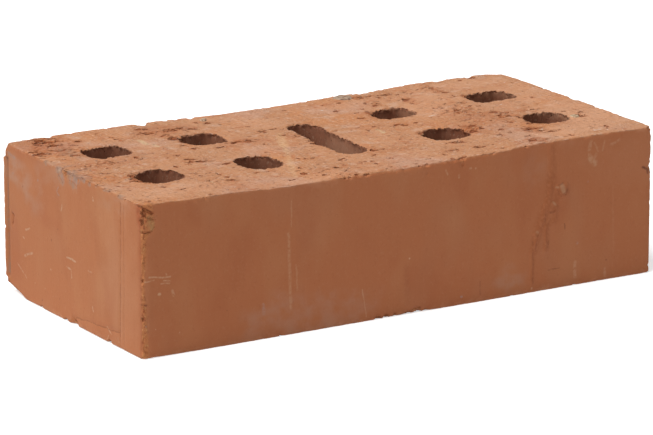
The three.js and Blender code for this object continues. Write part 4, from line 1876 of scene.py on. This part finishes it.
STRETCHER_RELIEF = (
    (73.2, 64, 73.6, 50, 1.6, -0.2), (73.4, 46, 71.8, 38, 1.7, -0.35), (71.8, 38, 67.7, 28.6, 1.8, -0.4),
    (67.7, 28.6, 64.6, 18.5, 1.5, -0.35), (64, 18, 64.2, 3, 0.7, -0.2), (76.1, 36, 75.2, 30.5, 1.1, -0.3),
    (75.2, 30.5, 71.1, 28.1, 1.1, -0.3), (71.1, 28.1, 71, 20, 1.2, -0.35), (71.2, 19.5, 70.8, 17.8, 2.2, -0.45),
    (79.2, 43, 79.3, 42.9, 3.6, -1), (79.6, 43.4, 79.7, 43.3, 1.6, 0.7), (74.3, 35.8, 74.4, 35.7, 2.6, -0.9),
    (74.4, 36.4, 74.5, 36.3, 1, 0.35), (66.2, 25.6, 66.2, 25.5, 2.2, -0.8), (66.2, 25.9, 66.3, 25.8, 0.9, 0.35),
    (76, 44.6, 77, 44.2, 1, -0.4), (28.7, 61.9, 28.9, 61.8, 1.2, 0.5), (11, 61.2, 11.1, 61.2, 1.2, 0.3),
    (-121.5, 58.3, -118.4, 58.5, 0.8, 0.4), (72.2, 8.8, 78.2, 8.8, 0.6, 0.15), (-124.8, 64, -119.4, 61.2, 1.1, 1.3),
)
KNOCKS = (
    (-70, 60, 0, 1.7), (14, 60, 0, 1.9), (19, 60, 0, 1.3), (92, 60, 0, 1.5), (125, 22, 65, 1.7),
    (125, -18, 65, 1.3), (125, 8, 0, 1.9), (125, -34, 0, 1.4), (125, 60, 38, 2.1), (125, 60, 35, 1.4),
    (125, 60, 9, 1.5), (-125, 60, 28, 1.2), (-125, -60, 61.5, 2.8), (-125, -60, 57.5, 2.2), (-125, -60, 33, 1.5),
    (-125, -60, 17, 1.7), (125, -60, 65, 2.2), (-125, -8.8, 65, 1.3), (-125, -15.1, 65, 1.2),
    (-125, -22.1, 65, 1.1), (-125, -28.3, 65, 1.4), (-125, -32.9, 65, 1.1), (-125, -39.9, 65, 1.2),
    (-125, -46.7, 65, 1.3), (125, -60, 46.2, 2), (125, -60, 41.2, 1.1), (125, -60, 24, 0.9), (125, -60, 3, 1.6),
    (28.7, -60, 65, 1.9), (-26.7, -60, 65, 1.9), (-22, -60, 65, 2.1), (-17.9, -60, 65, 1.6), (11, -60, 65, 1.3),
    (7.7, -60, 65, 1.4), (-28.3, -60, 65, 1.2), (44, -60, 65, 1.5), (61, -60, 65, 1.2), (-95, -60, 65, 1.3),
    (-13, -60, 0, 1.9), (-9, -60, 0, 2.2), (-4.5, -60, 0, 1.7), (1.5, -60, 0, 2.1), (6, -60, 0, 2.4),
    (10.5, -60, 0, 1.4), (86, -60, 0, 1.3), (-60, -60, 0, 1.2), (54, -60, 0, 1.1), (-125, -32, 0, 1.8),
    (-125, 6, 0, 1.6), (-125, 28, 0, 1.4), (-125, 47, 0, 1.5),
)
HAZE = (
    (4.6, -5, 52, 3, 28, 16, 0.45), (-125, 52, 55, 6, 10, 8, 0.6), (-125, 42, 52, 6, 12, 9, 0.5),
    (-125, 30, 44, 6, 9, 8, 0.3), (-125, 20, 60, 6, 14, 5, 0.3), (-125, -36, 61, 6, 13, 4, 0.25),
    (-47, -60, 8, 36, 5, 12, 0.35), (52, -60, 7, 10, 5, 7, 0.4), (64, -60, 55, 10, 5, 9, 0.2),
)
EMBER = (
    (-112, 44, 65, 22, 20, 6, 0.35), (-60, 44, 65, 18, 10, 6, 0.25), (-98, 10, 65, 24, 16, 6, 0.15),
    (-125, -60, 60, 4, 4, 8, 0.8), (-125, 23, 40, 6, 13, 6, 0.3), (-125, 52, 22, 6, 7, 18, 0.3),
    (-75, -60, 26, 28, 5, 20, 0.3), (18, -60, 30, 22, 5, 20, 0.18), (-35, 10, 65, 14, 9, 6, 0.25),
    (4.6, -2, 60, 3, 30, 9, 0.3), (75, -8, 65, 18, 14, 6, 0.2), (58, -22, 65, 10, 12, 6, 0.25),
)
# Pale patches. Those over the right end of the upper bed lighten it: partly a paler clay, partly painted light.
PALE = (
    (-96, -46, 65, 26, 11, 6, 0.65), (-30, -54, 65, 26, 7, 6, 0.35), (90, -46, 65, 26, 12, 6, 0.7),
    (25, -15, 65, 14, 22, 6, 0.1), (-15, 35, 65, 16, 14, 6, 0.4), (-74, 28, 65, 5, 9, 6, 0.6),
    (-115, -40, 65, 8, 16, 6, 0.3), (112, -25, 65, 21, 36, 2.6, 0.75), (-125, -46, 28, 6, 20, 34, 0.12),
    (125, -60, 52, 40, 6, 12, 0.08), (95, 48, 65, 32, 12, 6, 0.5), (-20, 52, 65, 30, 8, 6, 0.2),
    (70, 35, 65, 14, 16, 6, 0.55), (112, 20, 65, 19, 23, 2.6, 0.5), (62, 16, 65, 14, 18, 6, 0.5),
    (88, 6, 65, 16, 14, 6, 0.4), (40, 45, 65, 22, 9, 6, 0.35), (4.6, -5, 60, 3, 28, 9, 0.5),
    (55, 21, 58, 3, 9, 6, 0.15),
)
GRIME = (
    (-110, 33, 66, 5.5, 8, 3, 0.85), (-112, 29, 65.5, 7, 5, 3, 0.9), (-109, 21, 66, 4, 3, 3, 0.5),
    (-60, 50, 66, 3, 4, 3, 0.6), (-82, 12, 66, 5, 2, 3, 0.4),
)
STONES = (
    Stone("grey_pebble", (39.8, 55.6, 62.6), (5.0, 4.6, 3.0), 10, GravelFinish("#B99E88", "#63493A"), 21),
    Stone("pale_grain", (-31.8, 52.6, 63.9), (1.5, 1.4, 1.0), 30, GravelFinish("#D8C3A8", "#8E5E43"), 22),
    Stone("beige_pebble", (107.3, -26.6, 63.9), (2.2, 3.0, 1.6), -20, GravelFinish("#DCC3A2", "#8C6A50"), 23),
)
STAINS = (
    Stain("#DCC7A8", Wall.HEADER, (
        (41.2, 31, 37.4, 32.4, 0.7, 0.5), (42.6, 19.3, 35.2, 22.4, 0.8, 0.5), (43.7, 27.3, 42.8, 26.9, 0.6, 0.5),
        (4.1, 28.1, -4, 28, 0.6, 0.6), (4.2, 23.7, 0.4, 23.6, 0.7, 0.5), (0.2, 22.7, 0, 19.9, 0.6, 0.5),
        (-14.8, 26.7, -17.7, 26.5, 0.6, 0.45), (-18, 12.1, -18.6, 10.5, 0.8, 0.6), (-30, 6.6, -34.2, 4.5, 0.5, 0.5),
        (-31.3, 3.4, -29.8, 0.9, 0.5, 0.4), (-19.4, 58.9, -19.6, 57.8, 0.7, 0.6), (7.7, 49.5, 8.5, 47.2, 0.7, 0.45),
        (49.7, 14.5, 41.2, 10.2, 0.6, 0.35), (18.7, 19.1, 0.7, 0.5), (-39.1, 4, -40.1, 2.5, 0.5, 0.4),
        (24.5, 9.5, 0.6, 0.5), (33.5, 9.9, 0.6, 0.4), (11.5, 63.4, 1, 0.7),
    ), 0.65),
    Stain("#7E4A33", Wall.HEADER, (
        (-43.1, 62, -41.2, 1.5, 0.5, 0.45), (-45.6, 62, -44.7, 2, 0.35, 0.25), (54.3, 35.6, 52, 34.6, 0.4, 0.7),
        (52, 34.6, 53.6, 30.7, 0.4, 0.7), (-3.9, 4, -40.6, 6.6, 0.4, 0.5), (43.2, 49.4, 0.6, 0.6),
        (17.4, 32, 0.7, 0.7), (11.8, 38.3, 0.6, 0.5), (27.2, 3.8, 27, 3.6, 0.7, 0.5), (11.4, 8.1, 0.6, 0.6),
        (12.9, 64.6, 10.5, 61.2, 0.4, 0.5), (10.5, 61.2, 7.4, 58.9, 0.4, 0.45), (4.6, 64, 1.5, 61.6, 0.35, 0.4),
        (1.5, 61.6, -5.8, 60.4, 0.35, 0.45), (-5.8, 60.4, -8, 62.5, 0.35, 0.35),
    )),
    Stain("#A58B7E", Wall.HEADER, (
        (56.6, 61.2, 50.8, 60.1, 1.3, 0.6), (29.2, 55.4, 1, 0.6), (52.3, 53, 0.9, 0.5),
        (10.5, 56.5, 12.2, 54.1, 0.6, 0.5), (12.2, 54.1, 9.9, 53.1, 0.6, 0.5), (11.2, 64, 7.6, 60.9, 2.2, 0.6),
        (3.5, 64.2, -4.6, 62, 2.4, 0.6), (-3, 64.6, -12, 64.4, 1.1, 0.45), (20, 64.8, 13, 64.9, 0.9, 0.35),
    )),
    # Pale chalk marks on the stretcher. The short strokes on the tops of the three knobs of the drip, and on the
    # small lump beside the first, are painted highlights.
    Stain("#D2A983", Wall.STRETCHER, (
        (-121.4, 34.3, -111.5, 33.1, 0.6, 0.5), (-123.1, 32.6, -119.1, 32.5, 0.5, 0.5),
        (-114.8, 32, -111.5, 31.3, 0.5, 0.5), (-115.8, 30.9, -111.9, 30.5, 0.5, 0.4),
        (-116.9, 26.5, -116.4, 26.3, 0.9, 0.7), (-110.8, 27, -110.4, 25.3, 1, 0.4),
        (-113.5, 35.1, -113.3, 34.3, 0.5, 0.4), (-118.7, 12.2, 0.5, 0.4), (-56, 43, -55.2, 11.3, 1.1, 0.25),
        (-52.4, 29.4, -52, 18.6, 0.7, 0.2), (-54.7, 57, -54.6, 46, 0.5, 0.25), (-107.5, 9.1, 0.6, 0.4),
        (93.6, 62.3, 92.4, 58.3, 1.3, 0.3), (92.4, 58.3, 93.4, 54.6, 1.1, 0.3), (93.4, 54.8, 95.6, 52.6, 2.2, 0.4),
        (95.4, 61.6, 97, 57.6, 0.7, 0.2), (95.2, 53.6, 96.2, 56.4, 1, 0.2), (100.6, 61.6, 99.6, 57.7, 0.8, 0.22),
        (108.2, 61.1, 103.9, 59.4, 1, 0.25), (105.2, 40.9, 105.7, 11.3, 0.7, 0.07), (86, 10, 86, 3.8, 1.3, 0.35),
        (101.5, 5, 101.5, 2, 1, 0.3), (64, 1.9, 0.7, 0.8), (2.5, 24, 0.7, 0.7), (78.8, 44.8, 79.8, 42.4, 1.6, 0.7),
        (74.4, 37.9, 75.4, 37.2, 1, 0.5), (66.1, 26.3, 66.6, 25.9, 1, 0.5), (75.8, 44.8, 77, 44.4, 0.9, 0.4),
        (-20.6, 13.9, -18.6, 2.1, 0.4, 0.3), (20.1, 59.8, 20.9, 57.5, 0.6, 0.4), (26.7, 56.4, 26.9, 55.6, 0.7, 0.4),
        (32.5, 58.8, 0.9, 0.5), (35, 58.5, 0.7, 0.5),
    )),
    # Dark marks on the stretcher. The short strokes just under the three knobs of the drip are painted shadows.
    Stain("#6E3A26", Wall.STRETCHER, (
        (-124.6, 63.8, -119.6, 61.2, 0.7, 0.6), (-123.4, 61.4, -124, 56, 0.8, 0.3),
        (-121.6, 58.9, -120.4, 58.1, 0.4, 0.8), (-120.4, 58.1, -119.3, 58.6, 0.4, 0.8),
        (-118.7, 54.9, -119.7, 54.2, 0.4, 0.7), (-85.2, 14.8, 0.5, 0.4), (80.5, 27.8, 80.5, 25.6, 0.5, 0.5),
        (72.2, 8.8, 78.2, 8.8, 0.4, 0.4), (102.3, 8.8, 0.8, 0.4), (37.9, 8.8, 37.6, 3, 0.5, 0.3),
        (80.2, 41.6, 78.6, 40.6, 0.8, 0.5), (75.2, 34.2, 73.6, 33.9, 0.9, 0.5), (66.2, 24.2, 67.3, 24.6, 0.8, 0.4),
        (64.3, 22, 64.5, 4, 0.5, 0.35), (76.6, 43.2, 77.6, 41.4, 0.6, 0.45), (81.4, 43.4, 80.6, 41, 0.8, 0.55),
        (77.4, 45.4, 79.4, 45.8, 0.6, 0.45), (70.6, 33.6, 70.4, 30.4, 0.6, 0.35), (73.2, 31, 71.4, 28.4, 0.5, 0.3),
        (72.4, 21.6, 71.6, 18.4, 0.6, 0.35), (66.4, 22.6, 65.4, 19, 0.5, 0.3), (120.5, 47.2, 124.5, 45.6, 1, 0.9),
        (122.5, 46.5, 122.9, 44.4, 0.8, 0.8), (71.2, 28.1, 71, 20, 0.5, 0.25), (1, 20, 1.5, 5, 2.2, 0.1),
        (122.8, 46.4, 124.8, 45.8, 0.9, 0.8), (-124.4, 23, -122.8, 22.6, 0.8, 0.7), (-122.5, 11.5, 0.8, 0.7),
        (-123.5, 59, -123.2, 55, 0.6, 0.6),
    )),
    Stain("#9A5229", Wall.STRETCHER, (
        (73.9, 62, 74, 50, 3.2, 0.3), (73.6, 50, 72, 38, 4, 0.5), (72, 38, 68, 28.6, 4.6, 0.5),
        (67.7, 28.6, 64.8, 18.5, 3.6, 0.45), (64.6, 18.5, 64.2, 6, 1.8, 0.3), (76.4, 41, 75.4, 30, 2.4, 0.4),
        (75, 30, 71.1, 28, 2, 0.4), (71.1, 28, 71, 18.6, 2.4, 0.45), (79.2, 43, 79.6, 42.4, 4.2, 0.45),
        (74.6, 35.2, 75.4, 34.6, 2.4, 0.5),
    )),
    Stain("#B98B5A", Wall.STRETCHER, (
        (-120.6, 58.4, -120.2, 55, 2.1, 0.7), (-119.4, 57.4, -119.2, 56, 1.2, 0.5),
    )),
    Stain("#A89A92", Wall.STRETCHER, (
        (-68.3, 14.7, -67.9, 11.1, 1.1, 0.3), (28.4, 3.5, 1, 0.7), (-122.8, 14, 0.5, 0.5), (92.2, 44.9, 0.7, 0.3),
        (87, 18.4, 1, 0.3),
    )),
    Stain("#E2C79B", Wall.BED, (
        (-74, 33, -74, 27, 2, 0.6), (-71.8, 25, -71.8, 21, 1.1, 0.5), (23.5, 0, 23.3, -6.5, 1.2, 0.7),
        (-80.8, -41.8, -80.8, -39.8, 0.9, 0.5), (-95, -7, 1.1, 0.5), (-58, -11.5, 1, 0.4), (92.5, 13.5, 1, 0.5),
        (33.5, 14, 1.1, 0.5),
    )),
    Stain("#D2A983", Wall.FAR_HEADER, (
        (-34, 40, -22, 43, 0.8, 0.4), (12, 22, 15, 30, 0.7, 0.4), (38, 52, 44, 50, 1.2, 0.4), (-8, 12, 1, 0.5),
        (26, 9, 33, 12, 0.6, 0.35),
    ), 0.8),
    Stain("#D2A983", Wall.BACK_STRETCHER, (
        (-92, 44, -78, 46, 0.8, 0.4), (-40, 12, -36, 20, 0.7, 0.4), (8, 50, 9, 31, 0.7, 0.3),
        (52, 24, 60, 21, 1, 0.4), (84, 55, 92, 57, 1.1, 0.4), (30, 8, 1.1, 0.5), (-64, 28, 0.8, 0.5),
    ), 0.8),
    Stain("#6E3A26", Wall.BACK_STRETCHER, (
        (-20, 60, -18, 6, 0.5, 0.3), (70, 38, 72, 36, 1.1, 0.5), (-101, 18, -99, 18, 0.8, 0.5), (36, 40, 0.8, 0.5),
    )),
    Stain("#E3B88C", Wall.BED, (
        (-15.1, 15.5, -20.5, 5.5, 2.6, 0.5), (-20.5, 5.5, -24.6, -3.1, 3.2, 0.55),
        (-24.6, -3.1, -29, -13.5, 2.2, 0.45), (-29, -13.5, -34.7, -24.2, 1.8, 0.4),
        (-34.7, -24.2, -41.2, -38, 2.4, 0.4), (-41.2, -38, -45.7, -48.2, 1.8, 0.3),
    )),
    Stain("#F0E6D8", Wall.BED, (
        (21, 41.5, 0.8, 0.8), (29.5, 12, 0.7, 0.7), (-92, 51.5, 0.7, 0.7), (-102.3, 49, 0.6, 0.6),
        (-120, 19, 0.7, 0.6), (-107.5, 21.5, 0.7, 0.7), (-59.5, 9, 0.6, 0.7), (-109, -36.5, 0.7, 0.8),
        (-60.5, -34.5, 0.7, 0.7), (81.7, -40, 0.7, 0.6), (90, -40, 0.7, 0.7), (68.5, -49.5, 0.6, 0.6),
        (100, -52.7, 103, -52.7, 0.8, 0.7), (105.5, -54.7, 0.6, 0.6), (94.5, -2.5, 0.7, 0.6), (121, 25.7, 0.7, 0.6),
        (115.5, 40.5, 0.7, 0.6), (91.5, 7, 0.8, 0.7), (55, 7.5, 58, 7.5, 1.1, 0.5),
    )),
)


def main() -> None:
    """Builds the studio and the brick, piece by piece."""
    logging.basicConfig(level=logging.INFO, format="%(name)s: %(message)s")
    Studio().build()
    log.info("studio set")
    plan = Plan(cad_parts["brick"])
    reliefs = (
        Faces(),
        Arrises(),
        CrumbledArris(),
        FrayedArrises(),
        FarArris(),
        WallRelief(Wall.HEADER, HEADER_RELIEF),
        WallRelief(Wall.HEADER, HEADER_FLAKES, "grime"),
        WallRelief(Wall.STRETCHER, STRETCHER_RELIEF),
        WallRelief(Wall.BACK_STRETCHER, BACK_RELIEF),
        WallRelief(Wall.FAR_HEADER, FAR_RELIEF),
        Knocks(KNOCKS),
        CoreFlutes(),
        RimCrumbs(RIM_CRUMBS),
        WireTear(Bed.TOP, TOP_PITS, TOP_PATCHES, strays=110, seed=11),
        WireTear(Bed.UNDERSIDE, (), FOOT_PATCHES, strays=280, seed=12, arris_hold=0.85),
        Bloom("haze", HAZE),
        Bloom("ember_and_shade", EMBER),
        Bloom("pale", PALE),
        Bloom("grime", GRIME),
        Warp(BACK_SAG, FRONT_SAG, DISHES, FOOT_LIFT, BOWS),
    )
    BrickBody(plan, SolidBed(SOLID_BED), reliefs, ClayFinish(), STAINS).build()
    for stone in STONES:
        stone.build()


if __name__ == "__main__":
    main()
